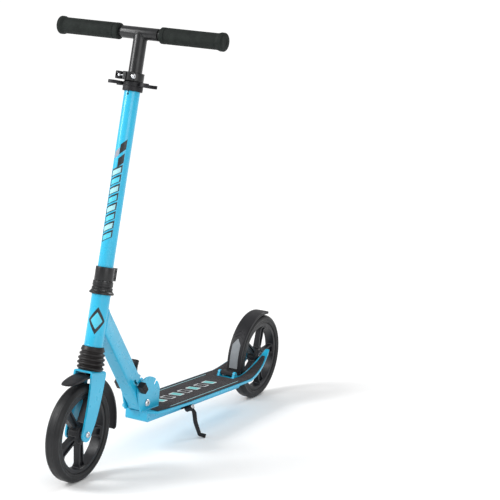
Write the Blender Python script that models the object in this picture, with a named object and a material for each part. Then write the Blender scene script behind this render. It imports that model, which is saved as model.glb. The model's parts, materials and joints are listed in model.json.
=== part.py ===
"""Folding kick scooter with 200 mm wheels, a sprung front fork and grips that pull off.

Metres, +Z up, the rider faces -Y and +X is the rider's left. The origin is on the
ground under the middle of the wheelbase, below the middle of the handlebar. The
scooter stands on its wheels and its kickstand, so it leans a few degrees to +X.

Every piece is modelled in one of two working frames, X to the left in both:
  deck frame: origin on the fold pivot, Y rearwards along the deck, Z square to it
  fork frame: origin level with the front axle on the steering axis, Z up that axis
"""

import math

import bmesh
import bpy
from mathutils import Matrix, Vector

MM = 0.001
GAP = 0.3 * MM

# Stance
STEER_TILT = math.radians(11.1)
LEAN = math.radians(4.2)

# Wheels, the same front and rear
WHEEL_R = 100 * MM
TYRE_HALF = 15 * MM
TYRE_FLAT_HALF = 6 * MM
TYRE_BED_R = 82 * MM
RIM_INNER_R = 73.5 * MM
RIM_HALF = 11.5 * MM
HUB_R = 17 * MM
HUB_HALF = 13 * MM
SPOKES = 5
BEARING_R = 11 * MM
BEARING_W = 7 * MM
AXLE_R = 4 * MM
AXLE_LEAD = 8 * MM

# Fork and suspension, fork frame
FORK_HALF = 22 * MM
FORK_PLATE = 4 * MM
CROWN_TOP = 127 * MM
POST_R = 11.2 * MM
POST_TOP = 248 * MM
SPRING_TOP = 303 * MM
SUSPENSION_TRAVEL = 12 * MM

# Head, fork frame
HEAD_R = 19.5 * MM
HEAD_BORE = 16.4 * MM
HEAD_BOTTOM = 175 * MM
HEAD_TOP = 281 * MM
STEERER_R = 13.9 * MM
STEERER_WALL = 1.8 * MM
STEERING_TUBE_R = 16 * MM
STEERING_TUBE_WALL = 1.6 * MM
STEERING_TUBE_BOTTOM = 309 * MM
STEERING_TUBE_TOP = 698 * MM
LOWER_CLAMP_BOTTOM = 308 * MM
LOWER_CLAMP_TOP = 336 * MM
UPPER_CLAMP_BOTTOM = 709.5 * MM
UPPER_CLAMP_TOP = 727 * MM
STEM_R = 14 * MM
STEM_BOTTOM = 420 * MM
BAR_HEIGHT = 807 * MM

# Handlebar
SLEEVE_R = 12.5 * MM
SLEEVE_HALF = 42 * MM
GRIP_TUBE_R = 10 * MM
GRIP_R = 16.5 * MM
GRIP_IN = 48 * MM
GRIP_OUT = 192 * MM

# Down tube, and the fold pivot that carries the deck
TUBE_HALF_HEIGHT = 19.5 * MM
TUBE_HALF_WIDTH = 16 * MM
TUBE_WALL = 2.5 * MM
TUBE_ANGLE = math.radians(40.4)
PIVOT_BACK = 215 * MM
PIVOT_UP = 56.5 * MM
MITRE_BACK = 8 * MM
LOCK_RADIUS = 47.6 * MM
NOTCH_R = 4.5 * MM
LOCK_PIN_AT = 60.4 * MM
LOCK_PIN_R = 2.6 * MM
LOCK_TRAVEL = 12 * MM
SPRING_STOP = 96 * MM
FOLD_ANGLE = math.radians(80)

# Deck, deck frame
DECK_TOP = -17 * MM
DECK_LIP = 5 * MM
DECK_BOTTOM = -41.5 * MM
DECK_HALF = 55 * MM
BEAM_HALF = 26.7 * MM
BEAM_FRONT = -5 * MM
DECK_END = 424 * MM
REAR_ARM_IN = 18.3 * MM
REAR_ARM_OUT = 24 * MM
REAR_AXLE_BACK = 536 * MM
REAR_AXLE_UP = 10 * MM
PLATE_IN = 17.2 * MM
PLATE_OUT = 20.6 * MM
PLATE_RIM_R = 56 * MM
PLATE_BACK = 51 * MM

# Rear brake fender and front fender
FENDER_OUT_R = 110 * MM
FENDER_THICK = 3 * MM
FENDER_HALF = 20 * MM
FENDER_HINGE_BACK = 398 * MM
FENDER_HINGE_UP = -9 * MM
FRONT_FENDER_R = 118.5 * MM

TURN = 2 * math.pi

PAINT = ("blue_paint", (0.045, 0.50, 0.83, 1), 0.22, 0.0)
DARK_METAL = ("black_metal", (0.02, 0.021, 0.024, 1), 0.32, 0.6)
PLASTIC = ("black_plastic", (0.018, 0.018, 0.02, 1), 0.5, 0.0)
TYRE_PU = ("tyre_rubber", (0.025, 0.026, 0.027, 1), 0.6, 0.0)
FOAM = ("grip_foam", (0.016, 0.019, 0.018, 1), 0.85, 0.0)
TAPE = ("grip_tape", (0.03, 0.028, 0.032, 1), 0.95, 0.0)
STEEL = ("bright_steel", (0.62, 0.63, 0.65, 1), 0.3, 1.0)
GREY = ("grey_insert", (0.2, 0.22, 0.23, 1), 0.55, 0.0)
BRONZE = ("bronze_bush", (0.45, 0.31, 0.14, 1), 0.35, 1.0)

for leftover in list(bpy.data.objects):
    bpy.data.objects.remove(leftover, do_unlink=True)


# ---------------------------------------------------------------- frames

def empty(name, parent=None, location=(0, 0, 0), rotation=(0, 0, 0)):
    marker = bpy.data.objects.new(name, None)
    bpy.context.scene.collection.objects.link(marker)
    marker.empty_display_size = 0.03
    marker.parent = parent
    marker.location = location
    marker.rotation_euler = rotation
    return marker


def fork_to_upright(back, up):
    """(y, z) of a fork-frame point on the upright scooter, from the front axle's foot."""
    ground_to_origin = WHEEL_R - AXLE_LEAD * math.sin(STEER_TILT)
    y = back * math.cos(STEER_TILT) + up * math.sin(STEER_TILT)
    z = ground_to_origin - back * math.sin(STEER_TILT) + up * math.cos(STEER_TILT)
    return y, z


PIVOT_Y, PIVOT_Z = fork_to_upright(PIVOT_BACK, PIVOT_UP)
FRONT_AXLE_Y = -AXLE_LEAD * math.cos(STEER_TILT)
# Both wheels stand on the ground, which sets the slope of the deck.
REAR_REACH = math.hypot(REAR_AXLE_BACK, REAR_AXLE_UP)
DECK_SLOPE = (math.asin((WHEEL_R - PIVOT_Z) / REAR_REACH)
              - math.atan2(REAR_AXLE_UP, REAR_AXLE_BACK))
REAR_AXLE_Y = (PIVOT_Y + REAR_AXLE_BACK * math.cos(DECK_SLOPE)
               - REAR_AXLE_UP * math.sin(DECK_SLOPE))
MID_Y = (FRONT_AXLE_Y + REAR_AXLE_Y) / 2
BAR_Z = fork_to_upright(0, BAR_HEIGHT)[1]
# Leaning about the left edge of the tyres' flat keeps that edge on the ground.
BAR_SHIFT = TYRE_FLAT_HALF - TYRE_FLAT_HALF * math.cos(LEAN) + BAR_Z * math.sin(LEAN)

ground = empty("ground", location=(TYRE_FLAT_HALF - BAR_SHIFT, 0, 0), rotation=(0, LEAN, 0))
upright = empty("upright", ground, (-TYRE_FLAT_HALF, -MID_Y, 0))
fork_frame = empty("fork_frame", upright, (0, *fork_to_upright(0, 0)), (-STEER_TILT, 0, 0))
deck_frame = empty("deck_frame", upright, (0, PIVOT_Y, PIVOT_Z), (DECK_SLOPE, 0, 0))
# Down tube: origin on the fold pivot, Y up along the tube, Z out of its lower face.
tube_frame = empty("tube_frame", fork_frame, (0, PIVOT_BACK, PIVOT_UP),
                   (math.pi - TUBE_ANGLE, 0, 0))
front_hub = empty("front_hub", fork_frame, (0, -AXLE_LEAD, 0))
rear_hub = empty("rear_hub", deck_frame, (0, REAR_AXLE_BACK, REAR_AXLE_UP))
fender_hinge = empty("fender_hinge", deck_frame, (0, FENDER_HINGE_BACK, FENDER_HINGE_UP))


# ---------------------------------------------------------------- modelling helpers

def material(finish):
    name, colour, roughness, metallic = finish
    made = bpy.data.materials.get(name)
    if made is None:
        made = bpy.data.materials.new(name)
        made.use_nodes = True
        shader = made.node_tree.nodes["Principled BSDF"]
        shader.inputs["Base Color"].default_value = colour
        shader.inputs["Roughness"].default_value = roughness
        shader.inputs["Metallic"].default_value = metallic
        made.diffuse_color = colour
    return made


def place(name, shape, finish, parent, location=(0, 0, 0), rotation=(0, 0, 0)):
    """Turns a bmesh into a named object under a frame."""
    bmesh.ops.recalc_face_normals(shape, faces=shape.faces)
    mesh = bpy.data.meshes.new(name)
    shape.to_mesh(mesh)
    shape.free()
    mesh.materials.append(material(finish))
    mesh.shade_smooth()
    mesh.set_sharp_from_angle(angle=math.radians(35))
    obj = bpy.data.objects.new(name, mesh)
    bpy.context.scene.collection.objects.link(obj)
    obj.parent = parent
    obj.location = location
    obj.rotation_euler = rotation
    return obj


def turned(profile, segments=32):
    """A closed ring of (radius, height) points turned about Z. Radius 0 is a pole."""
    shape = bmesh.new()
    rings = []
    for radius, height in profile:
        if radius == 0:
            rings.append([shape.verts.new((0, 0, height))])
            continue
        rings.append([
            shape.verts.new((radius * math.cos(TURN * i / segments),
                             radius * math.sin(TURN * i / segments), height))
            for i in range(segments)])
    for first, second in zip(rings, rings[1:] + rings[:1]):
        if len(first) == 1 and len(second) == 1:
            continue
        for i in range(segments):
            j = (i + 1) % segments
            corners = [first[i % len(first)], first[j % len(first)],
                       second[j % len(second)], second[i % len(second)]]
            shape.faces.new(list(dict.fromkeys(corners)))
    return shape


def tube_profile(outer, inner, low, high, edge=0.0):
    """A ring's cross-section, with its outer edges eased by `edge`."""
    if edge == 0:
        return [(outer, low), (outer, high), (inner, high), (inner, low)]
    return [(outer - edge, low), (outer, low + edge), (outer, high - edge),
            (outer - edge, high), (inner, high), (inner, low)]


def rod_profile(radius, low, high, edge=0.0):
    if edge == 0:
        return [(0, low), (radius, low), (radius, high), (0, high)]
    return [(0, low), (radius - edge, low), (radius, low + edge),
            (radius, high - edge), (radius - edge, high), (0, high)]


def hex_nut(corner_r, thread_r, low, high):
    """A six-sided nut; its hole is six-sided too and clears the thread."""
    bore = (thread_r + GAP) / math.cos(math.pi / 6)
    return turned(tube_profile(corner_r, bore, low, high), 6)


def prism(outline, low, high, axis="X"):
    """An outline pushed from low to high. Along X the outline is (y, z), along Z (x, y)."""
    shape = bmesh.new()
    ends = []
    for level in (low, high):
        if axis == "X":
            ends.append([shape.verts.new((level, a, b)) for a, b in outline])
        elif axis == "Y":
            ends.append([shape.verts.new((a, level, b)) for a, b in outline])
        else:
            ends.append([shape.verts.new((a, b, level)) for a, b in outline])
    shape.faces.new(ends[0])
    shape.faces.new(ends[1])
    count = len(outline)
    for i in range(count):
        j = (i + 1) % count
        shape.faces.new([ends[0][i], ends[0][j], ends[1][j], ends[1][i]])
    return shape


def block(low, high, edge=0.0, segments=2):
    """A box between two corners, with rounded edges."""
    shape = bmesh.new()
    low, high = Vector(low), Vector(high)
    bmesh.ops.create_cube(shape, size=1)
    for vert in shape.verts:
        vert.co = Vector(low[k] + (vert.co[k] + 0.5) * (high[k] - low[k]) for k in range(3))
    if edge:
        bmesh.ops.bevel(shape, geom=list(shape.edges), offset=edge, segments=segments,
                        affect="EDGES", profile=0.5)
    return shape


def arc(centre, radius, start, end, steps):
    """Points on an arc, angles in radians from +first towards +second axis."""
    return [(centre[0] + radius * math.cos(start + (end - start) * i / steps),
             centre[1] + radius * math.sin(start + (end - start) * i / steps))
            for i in range(steps + 1)]


def lofted(stations):
    """A solid through closed cross-sections that all have the same number of points."""
    shape = bmesh.new()
    rings = [[shape.verts.new(point) for point in ring] for ring in stations]
    for first, second in zip(rings, rings[1:]):
        count = len(first)
        for i in range(count):
            j = (i + 1) % count
            shape.faces.new([first[i], first[j], second[j], second[i]])
    shape.faces.new(rings[0])
    shape.faces.new(rings[-1])
    return shape


def coil(radius, wire, low, high, turns, steps=9, sides=4):
    """A helical spring along Z with its last half turns closed flat."""
    shape = bmesh.new()
    count = int(turns * steps)
    rings = []
    for i in range(count + 1):
        share = i / count
        angle = TURN * turns * share
        eased = min(max((share * turns - 0.75) / (turns - 1.5), 0), 1)
        height = low + wire + (high - low - 2 * wire) * eased
        height += wire * (0.35 if share * turns < 0.75 else 0) * (share * turns / 0.75 - 1)
        height += wire * (0.35 if share * turns > turns - 0.75 else 0) * (
            1 - (turns - share * turns) / 0.75)
        out = Vector((math.cos(angle), math.sin(angle), 0))
        centre = out * radius + Vector((0, 0, height))
        rings.append([centre + (out * math.cos(TURN * k / sides)
                                + Vector((0, 0, math.sin(TURN * k / sides)))) * wire * 0.62
                      for k in range(sides)])
    made = [[shape.verts.new(point) for point in ring] for ring in rings]
    for first, second in zip(made, made[1:]):
        for k in range(sides):
            m = (k + 1) % sides
            shape.faces.new([first[k], first[m], second[m], second[k]])
    shape.faces.new(made[0])
    shape.faces.new(made[-1])
    return shape


def moved(shape, location=(0, 0, 0), rotation=(0, 0, 0)):
    """The same bmesh, turned and then moved inside its frame."""
    turn = (Matrix.Rotation(rotation[2], 4, "Z") @ Matrix.Rotation(rotation[1], 4, "Y")
            @ Matrix.Rotation(rotation[0], 4, "X"))
    bmesh.ops.transform(shape, matrix=Matrix.Translation(location) @ turn, verts=shape.verts)
    return shape


ALONG_X = (0, math.pi / 2, 0)
ALONG_Y = (-math.pi / 2, 0, 0)


def combine(target, shapes, operation):
    """Adds a helper solid to a piece, or cuts it away. The helper isn't part of the scooter."""
    for number, shape in enumerate(shapes):
        helper = place(f"{target.name}_{operation.lower()}_{len(target.modifiers)}_{number}",
                       shape, DARK_METAL, target.parent, target.location, target.rotation_euler)
        helper.hide_render = True
        helper.display_type = "WIRE"
        boolean = target.modifiers.new(f"{operation.lower()}_{number}", "BOOLEAN")
        boolean.operation = operation
        boolean.solver = "EXACT"
        boolean.object = helper
    return target


# ---------------------------------------------------------------- wheels

def tyre_profile():
    """Solid tyre on its bed, a round crown with a narrow flat where it meets the ground."""
    shoulder = [(91 * MM, 15 * MM), (97.2 * MM, 11.8 * MM), (WHEEL_R, TYRE_FLAT_HALF)]
    right = [(radius, -half) for radius, half in reversed(shoulder)]
    wall = [(TYRE_BED_R + 2 * MM, TYRE_HALF - 1.5 * MM)]
    return ([(TYRE_BED_R, RIM_HALF)] + wall + shoulder + right
            + [(wall[0][0], -wall[0][1]), (TYRE_BED_R, -RIM_HALF)])


def spoke_gap(index):
    """One opening between two spokes, wider at the rim than at the hub."""
    span = TURN / SPOKES
    middle = span * (index + 0.5) + math.pi / 2
    outer_half = span / 2 - math.asin(10.5 * MM / RIM_INNER_R)
    inner_half = span / 2 - math.asin(6.5 * MM / (HUB_R + 4 * MM))
    outline = arc((0, 0), RIM_INNER_R, middle - outer_half, middle + outer_half, 5)
    outline += arc((0, 0), HUB_R + 3 * MM, middle + inner_half, middle - inner_half, 2)
    return prism(outline, -RIM_HALF * 1.5, RIM_HALF * 1.5, "Z")


def wheel_core_profile():
    """Rim, web and hub in one, before the openings are cut."""
    bed = TYRE_BED_R - GAP
    bore = BEARING_R + 0.15 * MM
    return [(bore, -HUB_HALF), (HUB_R, -HUB_HALF), (HUB_R + 2 * MM, -8 * MM),
            (RIM_INNER_R - 6 * MM, -6 * MM), (RIM_INNER_R, -RIM_HALF), (bed, -RIM_HALF),
            (bed, RIM_HALF), (RIM_INNER_R, RIM_HALF), (RIM_INNER_R - 6 * MM, 6 * MM),
            (HUB_R + 2 * MM, 8 * MM), (HUB_R, HUB_HALF), (bore, HUB_HALF)]


def make_wheel(prefix, hub, downwards):
    """Downwards is the angle in the hub's frame of the point that meets the ground."""
    tyre = moved(turned(tyre_profile(), 48), rotation=(0, 0, downwards))
    place(f"{prefix}_tyre", tyre, TYRE_PU, hub, rotation=ALONG_X)
    core = place(f"{prefix}_wheel_core", turned(wheel_core_profile(), 32), PLASTIC, hub,
                 rotation=ALONG_X)
    combine(core, [spoke_gap(i) for i in range(SPOKES)], "DIFFERENCE")
    for side, sign in (("left", 1), ("right", -1)):
        middle = sign * (HUB_HALF - BEARING_W / 2)
        ring = turned(tube_profile(BEARING_R, AXLE_R + 0.1 * MM, middle - BEARING_W / 2,
                                   middle + BEARING_W / 2), 20)
        place(f"{prefix}_bearing_{side}", ring, STEEL, hub, rotation=ALONG_X)
        outer = FORK_HALF - FORK_PLATE - GAP
        low, high = sorted((sign * (HUB_HALF + GAP), sign * outer))
        place(f"{prefix}_spacer_{side}", turned(tube_profile(7 * MM, AXLE_R + 0.1 * MM, low, high), 16),
              STEEL, hub, rotation=ALONG_X)


def make_axle(prefix, hub, arm_out):
    """A shouldered bolt from the left, with its nut on the right."""
    head = [(0, -arm_out - 5 * MM), (AXLE_R, -arm_out - 5 * MM), (AXLE_R, arm_out + GAP),
            (6.5 * MM, arm_out + GAP), (6.5 * MM, arm_out + 3 * MM), (5 * MM, arm_out + 4.2 * MM),
            (0, arm_out + 4.2 * MM)]
    place(f"{prefix}_axle_bolt", turned(head, 20), STEEL, hub, rotation=ALONG_X)
    place(f"{prefix}_axle_nut", hex_nut(7 * MM, AXLE_R, -arm_out - 4.8 * MM, -arm_out - GAP), STEEL,
          hub, rotation=ALONG_X)


# ---------------------------------------------------------------- fork and front fender

def leg_outline():
    """Side view of a fork leg: straight front edge, tapered back edge, round end."""
    end_r = 15.5 * MM
    foot = arc((-AXLE_LEAD, 0), end_r, math.radians(-2), math.radians(-174), 10)
    back = [(21.5 * MM, 45 * MM), (28 * MM, 96 * MM), (29 * MM, CROWN_TOP)]
    front = [(-24 * MM, CROWN_TOP)]
    return foot + front + list(reversed(back))


def make_fork():
    crown_bottom = CROWN_TOP - FORK_PLATE
    fork = place("fork", block((-FORK_HALF, -24 * MM, crown_bottom),
                               (FORK_HALF, 29 * MM, CROWN_TOP), 0.8 * MM, 1), PAINT, fork_frame)
    legs = [prism(leg_outline(), sign * (FORK_HALF - FORK_PLATE), sign * FORK_HALF)
            for sign in (1, -1)]
    post = turned(rod_profile(POST_R, crown_bottom + 1 * MM, POST_TOP, 1 * MM), 28)
    combine(fork, legs + [post], "UNION")
    hole = moved(turned(rod_profile(AXLE_R + 0.15 * MM, -30 * MM, 30 * MM), 20),
                 (0, -AXLE_LEAD, 0), ALONG_X)
    combine(fork, [hole], "DIFFERENCE")


def fender_band(radius, thick, half, start, end, steps, skirt):
    """A bent strip round a hub with short side skirts, angles from +Y towards +Z."""
    inner = radius - thick
    stations = []
    for i in range(steps + 1):
        angle = start + (end - start) * i / steps
        section = [(-half, inner - skirt), (-half, inner + thick * 0.2), (-half * 0.7, radius),
                   (half * 0.7, radius), (half, inner + thick * 0.2), (half, inner - skirt),
                   (half - thick, inner - skirt), (half - thick, inner - thick * 0.3),
                   (half * 0.62, inner), (-half * 0.62, inner),
                   (-half + thick, inner - thick * 0.3), (-half + thick, inner - skirt)]
        stations.append([(x, r * math.cos(angle), r * math.sin(angle)) for x, r in section])
    return lofted(stations)


def make_front_fender():
    front, back = math.radians(180 - 51.6), math.radians(2)
    band = fender_band(FRONT_FENDER_R, 2.2 * MM, 17.4 * MM, back, front, 20, 3 * MM)
    fender = place("front_fender", band, PLASTIC, front_hub)
    low, high = FRONT_FENDER_R - 1.6 * MM, CROWN_TOP - FORK_PLATE - GAP
    boss = turned(rod_profile(6 * MM, low, high, 0.6 * MM), 20)
    combine(fender, [moved(boss, (0, AXLE_LEAD, 0))], "UNION")


# ---------------------------------------------------------------- suspension

def bellows_profile():
    """Rubber boot with five rings that widen downwards."""
    low, high = CROWN_TOP + GAP, HEAD_BOTTOM - GAP
    crest = [27.2, 28.3, 27.4, 26, 24.4]
    pitch = (high - low) / len(crest)
    outside = [(23.2 * MM, low)]
    for i, radius in enumerate(crest):
        start = low + i * pitch
        outside += [(radius * MM, start + 0.38 * pitch), ((radius - 4.4) * MM, start + 0.9 * pitch)]
    outside[-1] = (22.6 * MM, high - 1.2 * MM)
    outside.append((21.6 * MM, high))
    return outside + [(20.2 * MM, high), (17.6 * MM, high - 3 * MM), (19.4 * MM, low)]


def make_suspension():
    place("fork_bellows", turned(bellows_profile(), 26), PLASTIC, fork_frame)
    place("suspension_spring", coil(8.6 * MM, 1.9 * MM, POST_TOP + GAP, SPRING_TOP - GAP, 7), STEEL,
          fork_frame)


# ---------------------------------------------------------------- frame

def mitred_tube(section, low):
    """The down tube's section (x, z) from low to a plane inside the head tube, in the tube's frame."""
    def end(z):
        return (PIVOT_BACK - MITRE_BACK - math.sin(TUBE_ANGLE) * z) / math.cos(TUBE_ANGLE)

    return lofted([[(x, low, z) for x, z in section], [(x, end(z), z) for x, z in section]])


def make_main_frame():
    head = place("main_frame", turned(tube_profile(HEAD_R, HEAD_BORE - 3 * MM, HEAD_BOTTOM, HEAD_TOP,
                                                   0.8 * MM), 36), PAINT, fork_frame)
    height, width = TUBE_HALF_HEIGHT, TUBE_HALF_WIDTH
    start = PIVOT_BACK
    tilt = math.pi - TUBE_ANGLE

    def in_fork_frame(shape):
        return moved(shape, (0, start, PIVOT_UP), (tilt, 0, 0))

    # The tube's frame has Y up the tube and Z towards its lower face once turned.
    corner = 3 * MM
    section = (arc((width - corner, height - corner), corner, 0, math.pi / 2, 3)
               + arc((corner - width, height - corner), corner, math.pi / 2, math.pi, 3)
               + arc((corner - width, corner - height), corner, math.pi, 1.5 * math.pi, 3)
               + arc((width - corner, corner - height), corner, 1.5 * math.pi, TURN, 3))
    body = in_fork_frame(mitred_tube(section, 1 * MM))
    cheek = width + 0.25 * MM
    knuckle = in_fork_frame(moved(turned(rod_profile(height + 0.3 * MM, -cheek, cheek), 28),
                                  rotation=ALONG_X))
    combine(head, [body, knuckle], "UNION")
    inner_w, inner_h = width - TUBE_WALL, height - TUBE_WALL
    hollow = in_fork_frame(block((-inner_w, 26 * MM, -inner_h), (inner_w, SPRING_STOP, inner_h)))
    inner = [(-inner_w, -inner_h), (inner_w, -inner_h), (inner_w, inner_h), (-inner_w, inner_h)]
    upper_hollow = in_fork_frame(mitred_tube(inner, SPRING_STOP + 4 * MM))
    bore = turned(rod_profile(HEAD_BORE, HEAD_BOTTOM - 5 * MM, HEAD_TOP + 5 * MM), 32)
    slot_low, slot_high = LOCK_PIN_AT, LOCK_PIN_AT + LOCK_TRAVEL
    slot_r = LOCK_PIN_R + 0.4 * MM
    slot_outline = (arc((slot_high, 0), slot_r, -math.pi / 2, math.pi / 2, 8)
                    + arc((slot_low, 0), slot_r, math.pi / 2, 1.5 * math.pi, 8))
    pin_slot = in_fork_frame(prism(slot_outline, -width - 5 * MM, width + 5 * MM))
    lever_slot = in_fork_frame(block((-5 * MM, 54 * MM, -height - 5 * MM),
                                     (5 * MM, 86 * MM, -inner_h + 3 * MM)))
    bush_bore = in_fork_frame(moved(turned(rod_profile(8.3 * MM, -25 * MM, 25 * MM), 24),
                                    rotation=ALONG_X))
    combine(head, [bore, hollow, upper_hollow, pin_slot, lever_slot, bush_bore], "DIFFERENCE")


def make_headset():
    inner = STEERER_R + GAP
    place("headset_lower_cup", turned([(HEAD_BORE - GAP, 170 * MM), (HEAD_BORE - GAP, 186 * MM),
                                       (inner, 186 * MM), (inner, 184 * MM),
                                       (15.2 * MM, 184 * MM), (15.2 * MM, 170 * MM)], 24),
          DARK_METAL, fork_frame)
    place("headset_lower_bearing", turned(tube_profile(15 * MM, inner, 177.3 * MM, 183.7 * MM), 20),
          STEEL, fork_frame)
    flange = HEAD_TOP + GAP
    place("headset_upper_cup",
          turned([(HEAD_BORE - GAP, 271 * MM), (HEAD_BORE - GAP, flange), (24.6 * MM, flange),
                  (25.2 * MM, flange + 3.6 * MM), (21.6 * MM, 289 * MM), (18 * MM, 289 * MM),
                  (18 * MM, 283 * MM), (15.2 * MM, 283 * MM), (15.2 * MM, 274 * MM),
                  (inner, 274 * MM), (inner, 271 * MM)], 28), DARK_METAL, fork_frame)
    place("headset_upper_bearing", turned(tube_profile(17.7 * MM, inner, 283.4 * MM, 288.8 * MM), 20),
          STEEL, fork_frame)
    rings = [(21.4 * MM, 289.6 * MM), (21.4 * MM, 294.4 * MM), (20 * MM, 295.2 * MM),
             (20 * MM, 297 * MM), (21 * MM, 298.2 * MM), (20.6 * MM, 307.4 * MM),
             (inner, 307.4 * MM), (inner, 289.6 * MM)]
    place("headset_nut", turned(rings, 28), DARK_METAL, fork_frame)


# ---------------------------------------------------------------- steering column

def make_steering_column():
    wall_in = STEERER_R - STEERER_WALL
    spring_seat = [(STEERER_R, 150 * MM), (STEERER_R, 330 * MM), (0, 330 * MM), (0, SPRING_TOP),
                   (wall_in, SPRING_TOP), (wall_in, 150 * MM)]
    place("steerer_tube", turned(spring_seat, 28), STEEL, fork_frame)
    inner = STEERING_TUBE_R - STEERING_TUBE_WALL
    column = place("steering_tube", turned(tube_profile(STEERING_TUBE_R, inner, STEERING_TUBE_BOTTOM,
                                                        STEERING_TUBE_TOP), 32), PAINT, fork_frame)
    slit = block((-1.2 * MM, -22 * MM, 684 * MM), (1.2 * MM, -8 * MM, 705 * MM))
    eye = moved(turned(rod_profile(2.4 * MM, 6 * MM, 24 * MM), 16), (0, 0, 684 * MM),
                (math.pi / 2, 0, 0))
    combine(column, [slit, eye], "DIFFERENCE")
    make_lower_clamp()


def make_lower_clamp():
    low, high = LOWER_CLAMP_BOTTOM, LOWER_CLAMP_TOP
    clamp = place("lower_clamp", turned(tube_profile(19.2 * MM, STEERING_TUBE_R - 1 * MM, low, high,
                                                     1 * MM), 28), DARK_METAL, fork_frame)
    ears = block((-9 * MM, 15 * MM, low + 0.5 * MM), (9 * MM, 35 * MM, high - 0.5 * MM), 2 * MM, 1)
    combine(clamp, [ears], "UNION")
    bore = turned(rod_profile(STEERING_TUBE_R + 0.4 * MM, low - 5 * MM, high + 5 * MM), 32)
    slit = block((-1 * MM, 10 * MM, low - 5 * MM), (1 * MM, 40 * MM, high + 5 * MM))
    cuts = [bore, slit]
    heights = (low + 7.5 * MM, high - 7.5 * MM)
    for height in heights:
        cuts.append(moved(turned(rod_profile(2.9 * MM, -20 * MM, 20 * MM), 12),
                          (0, 27 * MM, height), ALONG_X))
        cuts.append(moved(turned(rod_profile(4.8 * MM, 4.5 * MM, 20 * MM), 16),
                          (0, 27 * MM, height), ALONG_X))
    combine(clamp, cuts, "DIFFERENCE")
    for name, height in zip(("lower", "upper"), heights):
        bolt = [(0, -9 * MM), (2.5 * MM, -9 * MM), (2.5 * MM, 4.9 * MM), (4.4 * MM, 4.9 * MM),
                (4.4 * MM, 9.2 * MM), (3.8 * MM, 9.8 * MM), (2 * MM, 9.8 * MM), (2 * MM, 7.6 * MM),
                (0, 7.6 * MM)]
        place(f"clamp_bolt_{name}", turned(bolt, 16), STEEL, fork_frame, (0, 27 * MM, height),
              ALONG_X)


# ---------------------------------------------------------------- upper clamp and grip holder

LEVER_PIN_X, LEVER_PIN_Y, LEVER_PIN_R = -20.5 * MM, -25.5 * MM, 3 * MM
CLAMP_MID = (UPPER_CLAMP_BOTTOM + UPPER_CLAMP_TOP) / 2


def make_upper_clamp():
    low, high = UPPER_CLAMP_BOTTOM, UPPER_CLAMP_TOP
    ring = turned(tube_profile(19.4 * MM, STEM_R + 1 * MM, low, high, 0.8 * MM), 28)
    collar = place("upper_clamp", ring, DARK_METAL, fork_frame)
    ears = block((-10 * MM, -32 * MM, low + 0.5 * MM), (10 * MM, -13 * MM, high - 0.5 * MM), 1.6 * MM, 1)
    combine(collar, [ears], "UNION")
    bore = turned(rod_profile(STEM_R + 0.4 * MM, low - 5 * MM, high + 5 * MM), 28)
    slit = block((-1.2 * MM, -40 * MM, low - 5 * MM), (1.2 * MM, -8 * MM, high + 5 * MM))
    hole = turned(rod_profile(2.9 * MM, -30 * MM, 30 * MM), 14)
    hole = moved(hole, (0, LEVER_PIN_Y, CLAMP_MID), ALONG_X)
    combine(collar, [bore, slit, hole], "DIFFERENCE")
    rod = [(0, LEVER_PIN_X), (2.5 * MM, LEVER_PIN_X), (2.5 * MM, 10.3 * MM), (5 * MM, 10.3 * MM),
           (5 * MM, 14.6 * MM), (4.2 * MM, 15.4 * MM), (0, 15.4 * MM)]
    link = place("clamp_rod", turned(rod, 16), STEEL, fork_frame, (0, LEVER_PIN_Y, CLAMP_MID), ALONG_X)
    # The rod ends in a short cross pin that the lever turns on.
    cross = moved(turned(rod_profile(LEVER_PIN_R, -7 * MM, 7 * MM), 16), (LEVER_PIN_X, 0, 0))
    combine(link, [moved(cross, rotation=(0, -math.pi / 2, 0))], "UNION")


def make_quick_release():
    """Cam lever on a vertical pin at the right end of the clamp rod, closed round the collar."""
    hinge = empty("lever_hinge", fork_frame, (LEVER_PIN_X, LEVER_PIN_Y, CLAMP_MID))
    cam = turned(rod_profile(7.5 * MM, -7.6 * MM, 7.6 * MM, 0.8 * MM), 24)
    lever = place("quick_release_lever", cam, PLASTIC, hinge)
    path = [(-1.5, 2), (-3, 12), (-3.5, 24), (-1.5, 36), (3.5, 47)]
    stations = []
    for x, y in path:
        half = (7.2 - 0.05 * y) * MM
        thick = (3.4 - 0.02 * y) * MM
        stations.append([((x * MM) - thick, y * MM, -half), ((x * MM) + thick, y * MM, -half),
                         ((x * MM) + thick, y * MM, half), ((x * MM) - thick, y * MM, half)])
    combine(lever, [lofted(stations)], "UNION")
    # Room for the rod in the cam through the lever's whole swing.
    slot = block((-6.8 * MM, -12 * MM, -3 * MM), (14 * MM, 3 * MM, 3 * MM))
    hole = turned(rod_profile(LEVER_PIN_R + 0.2 * MM, -12 * MM, 12 * MM), 16)
    combine(lever, [slot, hole], "DIFFERENCE")


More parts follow.
